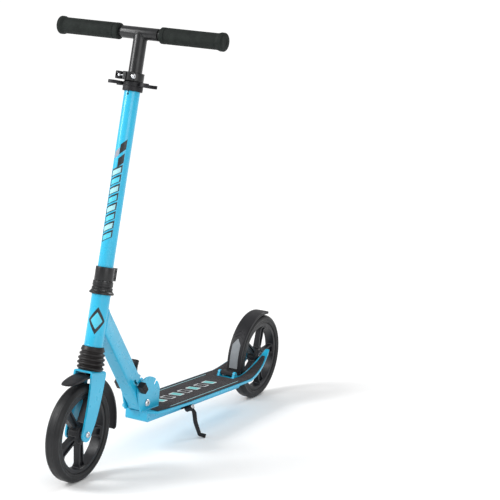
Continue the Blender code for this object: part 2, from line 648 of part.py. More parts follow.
def make_grip_holder():
    """Plastic ring under the clamp with a C clip on each side that stows a grip."""
    low, high = 699 * MM, 708.9 * MM
    ring = turned(tube_profile(20.4 * MM, STEM_R, low - 9 * MM, high, 0.8 * MM), 32)
    holder = place("grip_holder", ring, PLASTIC, fork_frame)
    clips = []
    for sign in (1, -1):
        centre = (sign * 38.5 * MM, -3 * MM)
        outer, inner, open_half = 19.5 * MM, 16.8 * MM, math.radians(62)
        facing = 0 if sign > 0 else math.pi
        outline = arc(centre, outer, facing + open_half, facing + TURN - open_half, 12)
        outline += arc(centre, inner, facing + TURN - open_half, facing + open_half, 12)
        clips.append(prism(outline, low + 1.7 * MM, high - 1.3 * MM, "Z"))
    combine(holder, clips, "UNION")
    bore = turned(rod_profile(STEERING_TUBE_R + GAP, low - 15 * MM, STEERING_TUBE_TOP + 1 * MM), 32)
    stem_bore = turned(rod_profile(STEM_R + 0.4 * MM, low - 15 * MM, high + 5 * MM), 28)
    combine(holder, [bore, stem_bore], "DIFFERENCE")


# ---------------------------------------------------------------- handlebar

def make_t_bar():
    stem = place("t_bar", turned(tube_profile(STEM_R, STEM_R - 1.8 * MM, STEM_BOTTOM, BAR_HEIGHT), 28),
                 DARK_METAL, fork_frame)
    sleeve = moved(turned(rod_profile(SLEEVE_R, -SLEEVE_HALF, SLEEVE_HALF, 0.8 * MM), 28),
                   (0, 0, BAR_HEIGHT), ALONG_X)
    combine(stem, [sleeve], "UNION")
    bore = turned(rod_profile(SLEEVE_R - 2.2 * MM, -60 * MM, 60 * MM), 28)
    bore = moved(bore, (0, 0, BAR_HEIGHT), ALONG_X)
    combine(stem, [bore], "DIFFERENCE")


def grip_profile(outward):
    """Foam grip: rounded inner collar, slim body and a flanged outer end."""
    bore = GRIP_TUBE_R + GAP
    points = [(bore, GRIP_IN), (15.4 * MM, GRIP_IN), (16.6 * MM, GRIP_IN + 2 * MM),
              (16.6 * MM, GRIP_IN + 11 * MM), (15.9 * MM, GRIP_IN + 12 * MM),
              (GRIP_R, GRIP_OUT - 14 * MM), (18.6 * MM, GRIP_OUT - 8 * MM),
              (18.4 * MM, GRIP_OUT - 1.8 * MM), (15.5 * MM, GRIP_OUT),
              (0, GRIP_OUT), (0, GRIP_OUT - 3 * MM), (bore, GRIP_OUT - 3 * MM)]
    return [(radius, outward * along) for radius, along in points]


def make_grips():
    for side, sign in (("left", 1), ("right", -1)):
        inner_end, outer_end = 6 * MM, GRIP_OUT - 3 * MM - GAP
        low, high = sorted((sign * inner_end, sign * outer_end))
        tube = turned(tube_profile(GRIP_TUBE_R, GRIP_TUBE_R - 1.6 * MM, low, high), 24)
        place(f"grip_tube_{side}", tube, DARK_METAL, fork_frame, (0, 0, BAR_HEIGHT), ALONG_X)
        place(f"grip_{side}", turned(grip_profile(sign), 24), FOAM, fork_frame, (0, 0, BAR_HEIGHT),
              ALONG_X)


# ---------------------------------------------------------------- fold lock

def make_fold_pivot():
    # The bolt's head is on the left plate and its nut on the right one.
    out = PLATE_OUT
    bolt = [(0, -out - 6 * MM), (5 * MM, -out - 6 * MM), (5 * MM, out + GAP), (8 * MM, out + GAP),
            (8 * MM, out + 2.6 * MM), (6.6 * MM, out + 3.8 * MM), (3 * MM, out + 3.8 * MM),
            (3 * MM, out + 1.6 * MM), (0, out + 1.6 * MM)]
    place("fold_pivot_bolt", turned(bolt, 24), STEEL, deck_frame, rotation=ALONG_X)
    place("fold_pivot_nut", hex_nut(8.5 * MM, 5 * MM, -out - 5.6 * MM, -out - GAP), STEEL, deck_frame,
          rotation=ALONG_X)
    bush_half = TUBE_HALF_WIDTH + 0.8 * MM
    bush = turned(tube_profile(8 * MM, 5 * MM + 0.1 * MM, -bush_half, bush_half), 24)
    place("fold_bushing", bush, BRONZE, deck_frame, rotation=ALONG_X)


def plate_outline():
    """Side view of a fold plate: a fan round the pivot with two notches in its rim."""
    forward = math.pi
    lock_front = forward - (TUBE_ANGLE + STEER_TILT + DECK_SLOPE)
    lock_back = lock_front - FOLD_ANGLE
    half_notch = math.asin(NOTCH_R / PLATE_RIM_R)
    rear_corner = math.acos(PLATE_BACK / PLATE_RIM_R)
    points = [(-22 * MM, DECK_TOP + GAP), (-40 * MM, 30 * MM)]
    front_lip = lock_front + half_notch
    points += [(58 * MM * math.cos(front_lip + 0.03), 58 * MM * math.sin(front_lip + 0.03))]

    def notch(angle):
        """Down one wall, round the seat and up the other wall, towards smaller angles."""
        along = Vector((math.cos(angle), math.sin(angle)))
        across = Vector((-along.y, along.x))
        mouth = math.sqrt(PLATE_RIM_R ** 2 - NOTCH_R ** 2)
        seat = along * LOCK_RADIUS
        walls = [along * mouth + across * NOTCH_R]
        for i in range(7):
            turn = math.pi * i / 6
            walls.append(seat + across * NOTCH_R * math.cos(turn) - along * NOTCH_R * math.sin(turn))
        walls.append(along * mouth - across * NOTCH_R)
        return [tuple(point) for point in walls]

    points += notch(lock_front)
    points += arc((0, 0), PLATE_RIM_R, lock_front - half_notch - 0.02, lock_back + half_notch + 0.02, 14)
    points += notch(lock_back)
    points += arc((0, 0), PLATE_RIM_R, lock_back - half_notch - 0.02, rear_corner, 4)
    return points + [(PLATE_BACK, DECK_TOP + GAP)]


def make_fold_plates():
    """Two plates fixed to the deck that carry the pivot, one each side of the tube."""
    for side, sign in (("left", 1), ("right", -1)):
        low, high = sorted((sign * PLATE_IN, sign * PLATE_OUT))
        plate = place(f"fold_plate_{side}", prism(plate_outline(), low, high), PAINT, deck_frame)
        hole = moved(turned(rod_profile(5 * MM + 0.15 * MM, low - 5 * MM, high + 5 * MM), 24),
                     rotation=ALONG_X)
        combine(plate, [hole], "DIFFERENCE")


def make_lock():
    """Cross pin just outside the plates' rims, a latch block at each end, and the pull lever."""
    reach = 33 * MM
    place("lock_pin", turned(rod_profile(LOCK_PIN_R, -reach, reach, 0.5 * MM), 20), STEEL, tube_frame,
          (0, LOCK_PIN_AT, 0), ALONG_X)
    for side, sign in (("left", 1), ("right", -1)):
        low, high = sorted((sign * (PLATE_OUT + 1 * MM), sign * 36 * MM))
        cap = place(f"lock_cap_{side}", block((low, LOCK_RADIUS - 9.5 * MM, -8 * MM),
                                              (high, LOCK_PIN_AT + 5.4 * MM, 8 * MM), 2.4 * MM, 2),
                    PLASTIC, tube_frame)
        seat_low, seat_high = sorted((sign * 15 * MM, sign * (reach + GAP)))
        seat = moved(turned(rod_profile(LOCK_PIN_R + GAP, seat_low, seat_high), 20),
                     (0, LOCK_PIN_AT, 0), ALONG_X)
        combine(cap, [seat], "DIFFERENCE")
    make_lock_lever()


def make_lock_lever():
    face = -TUBE_HALF_HEIGHT
    strip = block((-9 * MM, 56 * MM, face - 3.2 * MM), (9 * MM, 92 * MM, face - 0.6 * MM), 0.6 * MM, 1)
    lever = place("lock_lever", strip, PLASTIC, tube_frame)
    stations = []
    hook = [(70, 3.2, 2.6), (76, 6, 3.0), (82, 11.5, 3.4), (86, 18, 3.6), (86, 24, 3.2)]
    for along, out, thick in hook:
        stations.append([(-9 * MM, (along - thick) * MM, face - out * MM),
                         (9 * MM, (along - thick) * MM, face - out * MM),
                         (9 * MM, (along + thick) * MM, face - (out - 1.5) * MM),
                         (-9 * MM, (along + thick) * MM, face - (out - 1.5) * MM)])
    tongue = block((-4 * MM, LOCK_PIN_AT - 5.4 * MM, face - 2 * MM),
                   (4 * MM, LOCK_PIN_AT + 11 * MM, 5.4 * MM))
    combine(lever, [lofted(stations), tongue], "UNION")
    seat = moved(turned(rod_profile(LOCK_PIN_R + GAP, -20 * MM, 20 * MM), 20), (0, LOCK_PIN_AT, 0),
                 ALONG_X)
    combine(lever, [seat], "DIFFERENCE")
    spring = coil(4.6 * MM, 1 * MM, LOCK_PIN_AT + 11.3 * MM, SPRING_STOP - GAP, 5)
    place("lock_spring", spring, STEEL, tube_frame, (0, 0, -4 * MM), ALONG_Y)


# ---------------------------------------------------------------- deck

def arm_top(back):
    """Height of the deck's upper surface along its length: level, then up to the axle."""
    if back <= 415 * MM:
        return DECK_TOP
    rise = (back - 415 * MM) / (545 * MM - 415 * MM)
    return DECK_TOP + 42 * MM * rise ** 1.6


def deck_edge(back):
    """Half width of the deck at a distance behind the pivot."""
    if back < 120 * MM:
        share = (back - 8 * MM) / (112 * MM)
        return 44 * MM + 11 * MM * share ** 0.6
    if back < 400 * MM:
        return DECK_HALF
    share = (back - 400 * MM) / (150 * MM)
    return DECK_HALF - 26 * MM * share ** 1.9


def deck_outline(inset=0.0):
    """Plan of the top plate in front of the wheel, as (x, y) points."""
    half = [(BEAM_HALF - inset, BEAM_FRONT + inset), (44 * MM - inset, 8 * MM + inset)]
    half += [(deck_edge(back) - inset, back) for back in
             [value * MM for value in (16, 30, 50, 80, 120, 400, 412, 424)]]
    return half + [(-x, y) for x, y in reversed(half)]


def arm(sign):
    """One rear arm: a wall beside the wheel, with the deck's edge carried on along its top."""
    stations = []
    for i in range(12):
        back = (396 + i * 14) * MM
        top = arm_top(back)
        climb = math.atan((arm_top(back + 1 * MM) - top) / MM)
        # Points below the top lie square to it: how far out, and how deep.
        lip = DECK_LIP - 0.25 * i * MM
        depth = (24 - 0.6 * i) * MM
        section = [(REAR_ARM_IN, 0), (deck_edge(back), 0), (deck_edge(back), lip),
                   (REAR_ARM_OUT, lip), (REAR_ARM_OUT, depth), (REAR_ARM_IN, depth)]
        stations.append([(sign * out, back + deep * math.sin(climb), top - deep * math.cos(climb))
                         for out, deep in section])
    return lofted(stations)


def make_deck():
    plate = place("deck", prism(deck_outline(), DECK_TOP - DECK_LIP, DECK_TOP, "Z"), PAINT, deck_frame)
    bottom_front = BEAM_FRONT + 3 * MM
    side = [(BEAM_FRONT, DECK_TOP - 1 * MM), (BEAM_FRONT, DECK_BOTTOM + 4 * MM),
            (bottom_front, DECK_BOTTOM), (412 * MM, DECK_BOTTOM),
            (DECK_END - 2 * MM, DECK_BOTTOM + 12 * MM), (DECK_END - 2 * MM, DECK_TOP - 1 * MM)]
    beam = prism(side, -BEAM_HALF, BEAM_HALF)
    combine(plate, [beam, arm(1), arm(-1)], "UNION")
    wall = BEAM_FRONT + 2.4 * MM
    well = block((-PLATE_IN, wall, -25 * MM), (PLATE_IN, 24 * MM, 5 * MM))
    throat = block((-PLATE_IN, -30 * MM, DECK_TOP - 3.6 * MM), (PLATE_IN, 24 * MM, 5 * MM))
    axle_hole = moved(turned(rod_profile(AXLE_R + 0.15 * MM, -50 * MM, 50 * MM), 20),
                      (0, REAR_AXLE_BACK, REAR_AXLE_UP), ALONG_X)
    hollow = block((-BEAM_HALF + 2.5 * MM, 30 * MM, DECK_BOTTOM + 2.5 * MM),
                   (BEAM_HALF - 2.5 * MM, 430 * MM, DECK_TOP - DECK_LIP))
    knuckles = moved(turned(rod_profile(2.7 * MM, -30 * MM, 30 * MM), 14),
                     (0, FENDER_HINGE_BACK, FENDER_HINGE_UP), ALONG_X)
    lugs = []
    for sign in (1, -1):
        low, high = sorted((sign * 16.4 * MM, sign * 22 * MM))
        outline = ([(FENDER_HINGE_BACK - 9 * MM, DECK_TOP - 1 * MM)]
                   + [(FENDER_HINGE_BACK + 9 * MM, DECK_TOP - 1 * MM)]
                   + arc((FENDER_HINGE_BACK, FENDER_HINGE_UP), 5.5 * MM, 0, math.pi, 8))
        lugs.append(prism(outline, low, high))
    combine(plate, lugs, "UNION")
    combine(plate, [well, throat, axle_hole, hollow, knuckles], "DIFFERENCE")


def make_grip_tape():
    low, high = DECK_TOP + GAP, DECK_TOP + 1.3 * MM
    place("grip_tape", prism(tape_outline(), low, high, "Z"), TAPE, deck_frame)


def tape_outline():
    """The tape runs back from beside the fold plates to the fender hinge."""
    half = [(deck_edge(back) - 3 * MM, back) for back in
            [value * MM for value in (12, 30, 50, 80, 120, 384)]]
    notch = [(PLATE_OUT + 2 * MM, 12 * MM), (PLATE_OUT + 2 * MM, PLATE_BACK + 2 * MM)]
    right = [(-x, y) for x, y in reversed(half)]
    right_notch = [(-x, y) for x, y in notch]
    return notch[::-1] + half + right + right_notch


# ---------------------------------------------------------------- brake fender

def make_brake_fender():
    """Rear fender that is also the foot brake, hinged on the deck ahead of the wheel."""
    start, end = math.radians(77), math.radians(179)
    offset = (REAR_AXLE_BACK, REAR_AXLE_UP)
    to_hinge = (0, offset[0] - FENDER_HINGE_BACK, offset[1] - FENDER_HINGE_UP)
    band = fender_band(FENDER_OUT_R, FENDER_THICK, FENDER_HALF - 2.6 * MM, start, end, 20, 4 * MM)
    fender = place("brake_fender", moved(band, to_hinge), PLASTIC, fender_hinge)
    root = [(-5 * MM, -4 * MM), (5 * MM, -5 * MM), (34 * MM, -2 * MM), (32 * MM, 24 * MM),
            (12 * MM, 12 * MM), (-3 * MM, 5 * MM)]
    foot = prism(root, -15.6 * MM, 15.6 * MM)
    combine(fender, [foot], "UNION")
    pin_hole = moved(turned(rod_profile(2.8 * MM, -30 * MM, 30 * MM), 14), rotation=ALONG_X)
    trim = block((-30 * MM, -15 * MM, -30 * MM),
                 (30 * MM, 40 * MM, DECK_TOP - FENDER_HINGE_UP + 0.8 * MM))
    combine(fender, [pin_hole, trim], "DIFFERENCE")
    place("fender_hinge_pin", turned(rod_profile(2.4 * MM, -22.5 * MM, 22.5 * MM), 14), STEEL,
          fender_hinge, rotation=ALONG_X)
    make_fender_insert(to_hinge)


def make_fender_insert(to_hinge):
    """Grey cover on the fender's front face, with a pointed top."""
    base = FENDER_OUT_R + GAP
    stations = []
    for i in range(9):
        angle = math.radians(174 - i * 3.4)
        half = 10.5 * MM
        stations.append([(x, r * math.cos(angle), r * math.sin(angle)) for x, r in
                         ((-half, base), (-half, base + 0.9 * MM), (-half + 1 * MM, base + 1.4 * MM),
                          (half - 1 * MM, base + 1.4 * MM), (half, base + 0.9 * MM), (half, base))])
    tip = math.radians(174 - 8 * 3.4 - 4)
    stations.append([(x, r * math.cos(tip), r * math.sin(tip)) for x, r in
                     ((-2 * MM, base), (-2 * MM, base + 0.8 * MM), (-1 * MM, base + 1.2 * MM),
                      (1 * MM, base + 1.2 * MM), (2 * MM, base + 0.8 * MM), (2 * MM, base))])
    place("fender_insert", moved(lofted(stations), to_hinge), GREY, fender_hinge)


# ---------------------------------------------------------------- kickstand

STAND_BACK, STAND_DOWN, STAND_OUT = 158 * MM, -37 * MM, 38 * MM
STAND_TILT = math.radians(28)
STAND_KNEE_DROP = -57.3 * MM


def make_kickstand():
    """Side stand under the left edge of the deck, on a pivot tilted outwards."""
    wall = BEAM_HALF + GAP
    high = DECK_TOP - DECK_LIP - 0.8 * MM
    plate = block((wall, STAND_BACK - 19 * MM, -40 * MM), (wall + 4 * MM, STAND_BACK + 19 * MM, high),
                  1 * MM, 1)
    bracket = place("kickstand_bracket", plate, PLASTIC, deck_frame)
    pivot = empty("stand_pivot", deck_frame, (STAND_OUT, STAND_BACK, STAND_DOWN), (0, -STAND_TILT, 0))
    boss = moved(moved(turned(rod_profile(8.5 * MM, -9 * MM, -0.4 * MM), 24), rotation=ALONG_X),
                 (STAND_OUT, STAND_BACK, STAND_DOWN), (0, -STAND_TILT, 0))
    combine(bracket, [boss], "UNION")
    bore = moved(moved(turned(rod_profile(3.3 * MM, -30 * MM, 10 * MM), 16), rotation=ALONG_X),
                 (STAND_OUT, STAND_BACK, STAND_DOWN), (0, -STAND_TILT, 0))
    beam_side = block((0, 0, -60 * MM), (wall + 0.2 * MM, 300 * MM, 0))
    holes = [moved(turned(rod_profile(2.3 * MM, 10 * MM, 60 * MM), 12),
                   (0, STAND_BACK + offset, -27 * MM), ALONG_X) for offset in (-14.5 * MM, 14.5 * MM)]
    combine(bracket, [bore, beam_side] + holes, "DIFFERENCE")
    for name, offset in (("front", -14.5 * MM), ("rear", 14.5 * MM)):
        screw = [(0, 1 * MM), (2 * MM, 1 * MM), (2 * MM, 4.3 * MM), (4.2 * MM, 4.3 * MM),
                 (3.6 * MM, 6 * MM), (0, 6.6 * MM)]
        place(f"kickstand_screw_{name}", turned(screw, 14), STEEL, deck_frame,
              (BEAM_HALF, STAND_BACK + offset, -27 * MM), ALONG_X)
    pin = [(0, -8 * MM), (3 * MM, -8 * MM), (3 * MM, 7.4 * MM), (5.5 * MM, 7.4 * MM),
           (5.5 * MM, 9 * MM), (4.6 * MM, 10 * MM), (0, 10 * MM)]
    place("kickstand_pin", turned(pin, 20), STEEL, pivot, rotation=ALONG_X)
    make_stand_leg(pivot)


def make_stand_leg(pivot):
    """Forged leg: an eye on the pin, a tapered shank and a bent foot."""
    eye = turned(tube_profile(9 * MM, 3 * MM + GAP, 0.2 * MM, 7 * MM, 0.8 * MM), 24)
    leg = place("kickstand_leg", moved(eye, rotation=ALONG_X), PLASTIC, pivot)
    into_pivot = Matrix.Rotation(STAND_TILT, 4, "Y")
    knee = into_pivot @ Vector((27.5 * MM, 6 * MM, STAND_KNEE_DROP))
    toe = into_pivot @ Vector((40.5 * MM, 9 * MM, STAND_KNEE_DROP - 1.6 * MM))
    route = [Vector((3.7 * MM, 0.8 * MM, -5 * MM)), Vector((5.4 * MM, 1.8 * MM, -15 * MM)),
             knee * 0.55 + Vector((1 * MM, 0, 0)), knee, toe]
    radii = [3.1 * MM, 4.9 * MM, 4.8 * MM, 4.2 * MM, 4.4 * MM]
    combine(leg, [swept(route, radii)], "UNION")
    hole = moved(turned(rod_profile(3 * MM + GAP, -12 * MM, 14 * MM), 20), rotation=ALONG_X)
    combine(leg, [hole], "DIFFERENCE")


def swept(route, radii, sides=10):
    """A round bar through a few points, its joints mitred."""
    stations = []
    for i, point in enumerate(route):
        before = route[max(i - 1, 0)]
        after = route[min(i + 1, len(route) - 1)]
        along = (after - before).normalized()
        across = along.cross(Vector((0, 1, 0))).normalized()
        third = along.cross(across)
        stations.append([point + (across * math.cos(TURN * k / sides)
                                  + third * math.sin(TURN * k / sides)) * radii[i]
                         for k in range(sides)])
    return lofted([[tuple(point) for point in ring] for ring in stations])


# ---------------------------------------------------------------- assembly

make_wheel("front", front_hub, STEER_TILT)
make_wheel("rear", rear_hub, -DECK_SLOPE)
make_axle("front", front_hub, FORK_HALF)
make_axle("rear", rear_hub, REAR_ARM_OUT)
make_fork()
make_front_fender()
make_suspension()
make_main_frame()
make_headset()
make_steering_column()
make_upper_clamp()
make_quick_release()
make_grip_holder()
make_t_bar()
make_grips()
make_fold_pivot()
make_fold_plates()
make_lock()
make_deck()
make_grip_tape()
make_brake_fender()
make_kickstand()
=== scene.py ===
"""Kick scooter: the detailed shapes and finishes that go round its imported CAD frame.

Each piece is modelled in millimetres in a frame taken from the record's joints:
  FORK  origin level with the front axle on the steering axis, X left, Z up that axis
  DECK  origin on the fold pivot, X left, Y back along the deck
  TUBE  origin on the fold pivot, X left, Y up the down tube, Z out of its lower face
The hubs, BAR and LEVER lie along FORK or DECK at their own pivots, and HINGE is the brake's.
"""

import json
from math import acos, asin, atan, atan2, cos, pi, radians, sin, sqrt, tan

import bmesh
import bpy
from mathutils import Matrix, Vector


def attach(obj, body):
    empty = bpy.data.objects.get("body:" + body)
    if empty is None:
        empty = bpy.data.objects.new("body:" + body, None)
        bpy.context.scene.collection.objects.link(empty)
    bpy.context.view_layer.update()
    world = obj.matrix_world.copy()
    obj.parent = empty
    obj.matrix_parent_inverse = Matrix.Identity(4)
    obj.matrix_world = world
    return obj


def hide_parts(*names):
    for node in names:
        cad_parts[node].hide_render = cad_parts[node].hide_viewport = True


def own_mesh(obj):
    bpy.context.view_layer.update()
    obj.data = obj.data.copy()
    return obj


MM = 0.001
TURN = 2 * pi
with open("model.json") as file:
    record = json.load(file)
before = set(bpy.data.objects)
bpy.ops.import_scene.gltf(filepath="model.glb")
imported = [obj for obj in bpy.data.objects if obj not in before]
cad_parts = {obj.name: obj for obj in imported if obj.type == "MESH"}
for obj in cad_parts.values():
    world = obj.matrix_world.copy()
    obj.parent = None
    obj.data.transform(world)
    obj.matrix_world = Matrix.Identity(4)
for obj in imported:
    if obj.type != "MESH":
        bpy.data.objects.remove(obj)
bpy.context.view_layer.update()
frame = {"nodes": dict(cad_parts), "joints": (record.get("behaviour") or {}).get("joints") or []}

# ---- frames

joints = {joint["name"]: joint for joint in frame["joints"]}


def axis_of(name):
    return Vector(joints[name]["axis"]).normalized()


def place_of(name):
    return Vector(joints[name]["pos_m"])


def basis(origin, x_axis, z_axis):
    turn = Matrix((x_axis, z_axis.cross(x_axis), z_axis)).transposed().to_4x4()
    return Matrix.Translation(origin) @ turn


def shifted(place, x=0, y=0, z=0):
    return place @ Matrix.Translation((x * MM, y * MM, z * MM))


LEFT = -axis_of("fold")
STEER = axis_of("steering")

# Sizes in millimetres; a pair is (back, up) in DECK.
AXLE_LEAD = 8
REAR_AXLE = (536, 10)
FENDER_HINGE = (398, -9)
BAR_HEIGHT = 807
PLATE_RADIUS = 56
NOTCH_HALF = 4.5
FOLD_ANGLE = radians(80)
STAND_TILT = radians(28)
STAND_BACK = 158
STAND_SCREWS = (("front", -14.5), ("rear", 14.5))
SIDES = (("left", 1), ("right", -1))

front_axle, rear_axle, pivot = (place_of(name) for name in ("front_wheel_spin", "rear_wheel_spin", "fold"))
FORK = basis(place_of("steering") + STEER * (front_axle - place_of("steering")).dot(STEER), LEFT, STEER)
back = (rear_axle - pivot).normalized()
rise = atan2(REAR_AXLE[1], REAR_AXLE[0])
DECK = basis(pivot, LEFT, LEFT.cross(back) * cos(rise) + back * sin(rise))
TUBE = basis(pivot, LEFT, LEFT.cross(axis_of("lock")))
FRONT_HUB = shifted(FORK, y=-AXLE_LEAD)
REAR_HUB = shifted(DECK, y=REAR_AXLE[0], z=REAR_AXLE[1])
HINGE = shifted(DECK, y=FENDER_HINGE[0], z=FENDER_HINGE[1])
LEVER = basis(place_of("clamp_lever"), LEFT, STEER)
ALONG_X = Matrix.Rotation(pi / 2, 4, "Y")
ALONG_Y = Matrix.Rotation(-pi / 2, 4, "X")

# ---- finishes


def shown(name, data):
    obj = bpy.data.objects.new(name, data)
    bpy.context.scene.collection.objects.link(obj)
    return obj


def new_finish(name):
    made = bpy.data.materials.new(name)
    made.use_nodes = True
    tree = made.node_tree
    return made, tree, tree.nodes["Principled BSDF"]


def fill(node, sockets):
    """Sets a node's inputs, each from a number, a colour or another node's output."""
    for key, value in sockets.items():
        if isinstance(value, bpy.types.NodeSocket):
            node.id_data.links.new(value, node.inputs[key])
        else:
            node.inputs[key].default_value = value


def output(tree, kind, name, sockets, **settings):
    """Adds a shader node and returns one of its outputs."""
    node = tree.nodes.new("ShaderNode" + kind)
    for key, value in settings.items():
        setattr(node, key, value)
    fill(node, sockets)
    return node.outputs[name]


def coordinates(tree, scale=(1, 1, 1)):
    """Object coordinates in millimetres, stretched by scale."""
    source = output(tree, "TexCoord", "Object", {})
    return output(tree, "Mapping", "Vector", {"Scale": [1000 * value for value in scale], "Vector": source})


def noise(tree, vector, scale, detail=3, rough=0.55):
    return output(tree, "TexNoise", "Fac",
                  {"Scale": scale, "Detail": detail, "Roughness": rough, "Vector": vector})


def cells(tree, vector, scale):
    return output(tree, "TexVoronoi", "Distance", {"Scale": scale, "Vector": vector})


def spread(tree, value, low, high, start=0.3, end=0.7):
    """Maps start..end of a value onto low..high."""
    return output(tree, "MapRange", "Result",
                  {"From Min": start, "From Max": end, "To Min": low, "To Max": high, "Value": value})


def mixed(tree, first, second, factor, **settings):
    return output(tree, "Mix", "Result", {"A": first, "B": second, "Factor": factor}, data_type="RGBA",
                  **settings)


def tinted(tree, value, first, second, start=0.3, end=0.7):
    """A colour that runs from first to second as the texture goes from start to end."""
    return mixed(tree, (*first, 1), (*second, 1), spread(tree, value, 0, 1, start, end))


def bumped(tree, shader, height, depth, strength, under=None):
    """Adds relief of `depth` millimetres to the shader's normal, on top of the relief under it."""
    sockets = {"Distance": depth * MM, "Strength": strength, "Height": height}
    if under is not None:
        sockets["Normal"] = under
    relief = output(tree, "Bump", "Normal", sockets)
    fill(shader, {"Normal": relief})
    return relief


def worn_edges(tree, width):
    """1 on a rounded edge and 0 on a flat, from how far the surface turns within width mm."""
    soft = output(tree, "Bevel", "Normal", {"Radius": width * MM}, samples=4)
    flat = output(tree, "NewGeometry", "Normal", {})
    match = output(tree, "VectorMath", "Value", {0: soft, 1: flat}, operation="DOT_PRODUCT")
    return spread(tree, match, 1, 0, 0.80, 0.99)


def product(tree, first, second):
    return output(tree, "Math", "Value", {0: first, 1: second}, operation="MULTIPLY")


def gloss_paint(name, deep, bright):
    """Powder coat under clear lacquer: faint orange peel, slow colour drift, paler edges."""
    made, tree, shader = new_finish(name)
    at = coordinates(tree)
    edge = (*[min(1, value * 1.25 + 0.03) for value in bright], 1)
    tone = tinted(tree, noise(tree, at, 0.012, 4), deep, bright)
    fill(shader, {"Base Color": mixed(tree, tone, edge,
                                      product(tree, worn_edges(tree, 0.8), 0.08)),
                  "Roughness": spread(tree, noise(tree, at, 0.05, 5), 0.24, 0.36),
                  "Coat Weight": 0.3, "Coat Roughness": 0.1})
    bumped(tree, shader, noise(tree, at, 0.4, 1), 0.003, 0.3)
    return made


def satin_metal(name, dark, pale, low, high, metallic, grain=(1, 1, 1), shine=0.5):
    """Painted or plated metal with a fine grain; grain stretches the marks along one way."""
    made, tree, shader = new_finish(name)
    at = coordinates(tree, grain)
    fill(shader, {"Base Color": tinted(tree, noise(tree, at, 0.09, 5), dark, pale),
                  "Roughness": spread(tree, noise(tree, at, 0.4, 6, 0.65), low, high),
                  "Metallic": metallic, "Specular IOR Level": shine})
    bumped(tree, shader, noise(tree, at, 2.2, 3), 0.004, 0.6)
    return made


def moulded(name, dark, pale, low=0.42, high=0.58, texture=1.4, depth=0.03):
    """Moulded plastic or rubber with a fine spark-eroded texture and scuffed edges."""
    made, tree, shader = new_finish(name)
    at = coordinates(tree)
    edge = (*[value * 2.1 + 0.006 for value in pale], 1)
    tone = tinted(tree, noise(tree, at, 0.03, 6), dark, pale)
    scuffs = product(tree, worn_edges(tree, 0.7), spread(tree, noise(tree, at, 0.15, 4), 0.15, 0.8))
    fill(shader, {"Base Color": mixed(tree, tone, edge, scuffs),
                  "Roughness": spread(tree, noise(tree, at, 0.08, 5), low, high),
                  "Specular IOR Level": 0.28})
    bumped(tree, shader, noise(tree, at, texture, 2), depth, 0.6)
    return made


def foam(name):
    """Closed-cell grip foam: matt, faintly green black, with open pores."""
    made, tree, shader = new_finish(name)
    at = coordinates(tree)
    fill(shader, {"Base Color": tinted(tree, noise(tree, at, 0.06, 5), (0.006, 0.0085, 0.0075),
                                       (0.014, 0.018, 0.016)),
                  "Roughness": spread(tree, noise(tree, at, 0.5, 3), 0.62, 0.85),
                  "Specular IOR Level": 0.2})
    pores = bumped(tree, shader, cells(tree, at, 1.3), 0.16, 0.7)
    bumped(tree, shader, noise(tree, at, 3.5, 2), 0.05, 0.5, pores)
    return made


def grit(name):
    """Deck tape: pale grains on a dark grey ground."""
    made, tree, shader = new_finish(name)
    at = coordinates(tree)
    ground = tinted(tree, noise(tree, at, 0.045, 5), (0.018, 0.017, 0.02), (0.034, 0.031, 0.033))
    grains = tinted(tree, noise(tree, at, 1.15, 1), (0, 0, 0), (0.075, 0.07, 0.075), 0.56, 0.66)
    fill(shader, {"Base Color": mixed(tree, ground, grains, 1, blend_type="ADD"),
                  "Roughness": spread(tree, noise(tree, at, 1.2, 2), 0.7, 0.95),
                  "Specular IOR Level": 0.25})
    coarse = bumped(tree, shader, cells(tree, at, 1.1), 0.22, 0.8)
    bumped(tree, shader, noise(tree, at, 2.6, 2), 0.12, 0.6, coarse)
    return made


def printed(name, colour, low=0.3, high=0.5):
    """Screen-printed vinyl, its ink a little uneven."""
    made, tree, shader = new_finish(name)
    at = coordinates(tree)
    pale = [min(1, value * 1.15 + 0.004) for value in colour]
    fill(shader, {"Base Color": tinted(tree, noise(tree, at, 0.35, 5), colour, pale),
                  "Roughness": spread(tree, noise(tree, at, 0.2, 4), low, high)})
    bumped(tree, shader, noise(tree, at, 1.8, 2), 0.01, 0.4)
    return made


BLUE = gloss_paint("sky_blue_paint", (0.010, 0.375, 0.60), (0.018, 0.45, 0.69))
BLACK_METAL = satin_metal("satin_black_metal", (0.006, 0.0063, 0.007), (0.014, 0.0145, 0.016), 0.26, 0.38,
                          0, shine=0.4)
BLACK_PLASTIC = moulded("black_moulding", (0.007, 0.007, 0.0085), (0.014, 0.014, 0.017))
CORE_PLASTIC = moulded("wheel_core_moulding", (0.008, 0.0085, 0.0105), (0.016, 0.017, 0.02), 0.3, 0.46)
BOOT_RUBBER = moulded("boot_rubber", (0.008, 0.007, 0.007), (0.017, 0.015, 0.015), 0.32, 0.46, 0.9, 0.02)
TYRE_PU = moulded("tyre_polyurethane", (0.008, 0.0085, 0.0095), (0.017, 0.0175, 0.019), 0.38, 0.56,
                  0.8, 0.035)
SEAL = moulded("seal_rubber", (0.01, 0.01, 0.011), (0.02, 0.02, 0.022))
GRIP_FOAM = foam("grip_foam_finish")
TAPE = grit("deck_grit")
BOLT = satin_metal("zinc_plate", (0.52, 0.53, 0.55), (0.72, 0.73, 0.75), 0.2, 0.36, 1)
TURNED = satin_metal("turned_steel", (0.5, 0.51, 0.53), (0.66, 0.67, 0.69), 0.18, 0.3, 1, (0.2, 0.2, 4))
BRONZE = satin_metal("bush_bronze", (0.40, 0.27, 0.12), (0.52, 0.37, 0.17), 0.28, 0.42, 1)
GREY = moulded("grey_cover", (0.17, 0.185, 0.2), (0.235, 0.25, 0.265), 0.4, 0.55, 0.9, 0.03)
INK_BLACK = printed("black_print", (0.008, 0.012, 0.016))
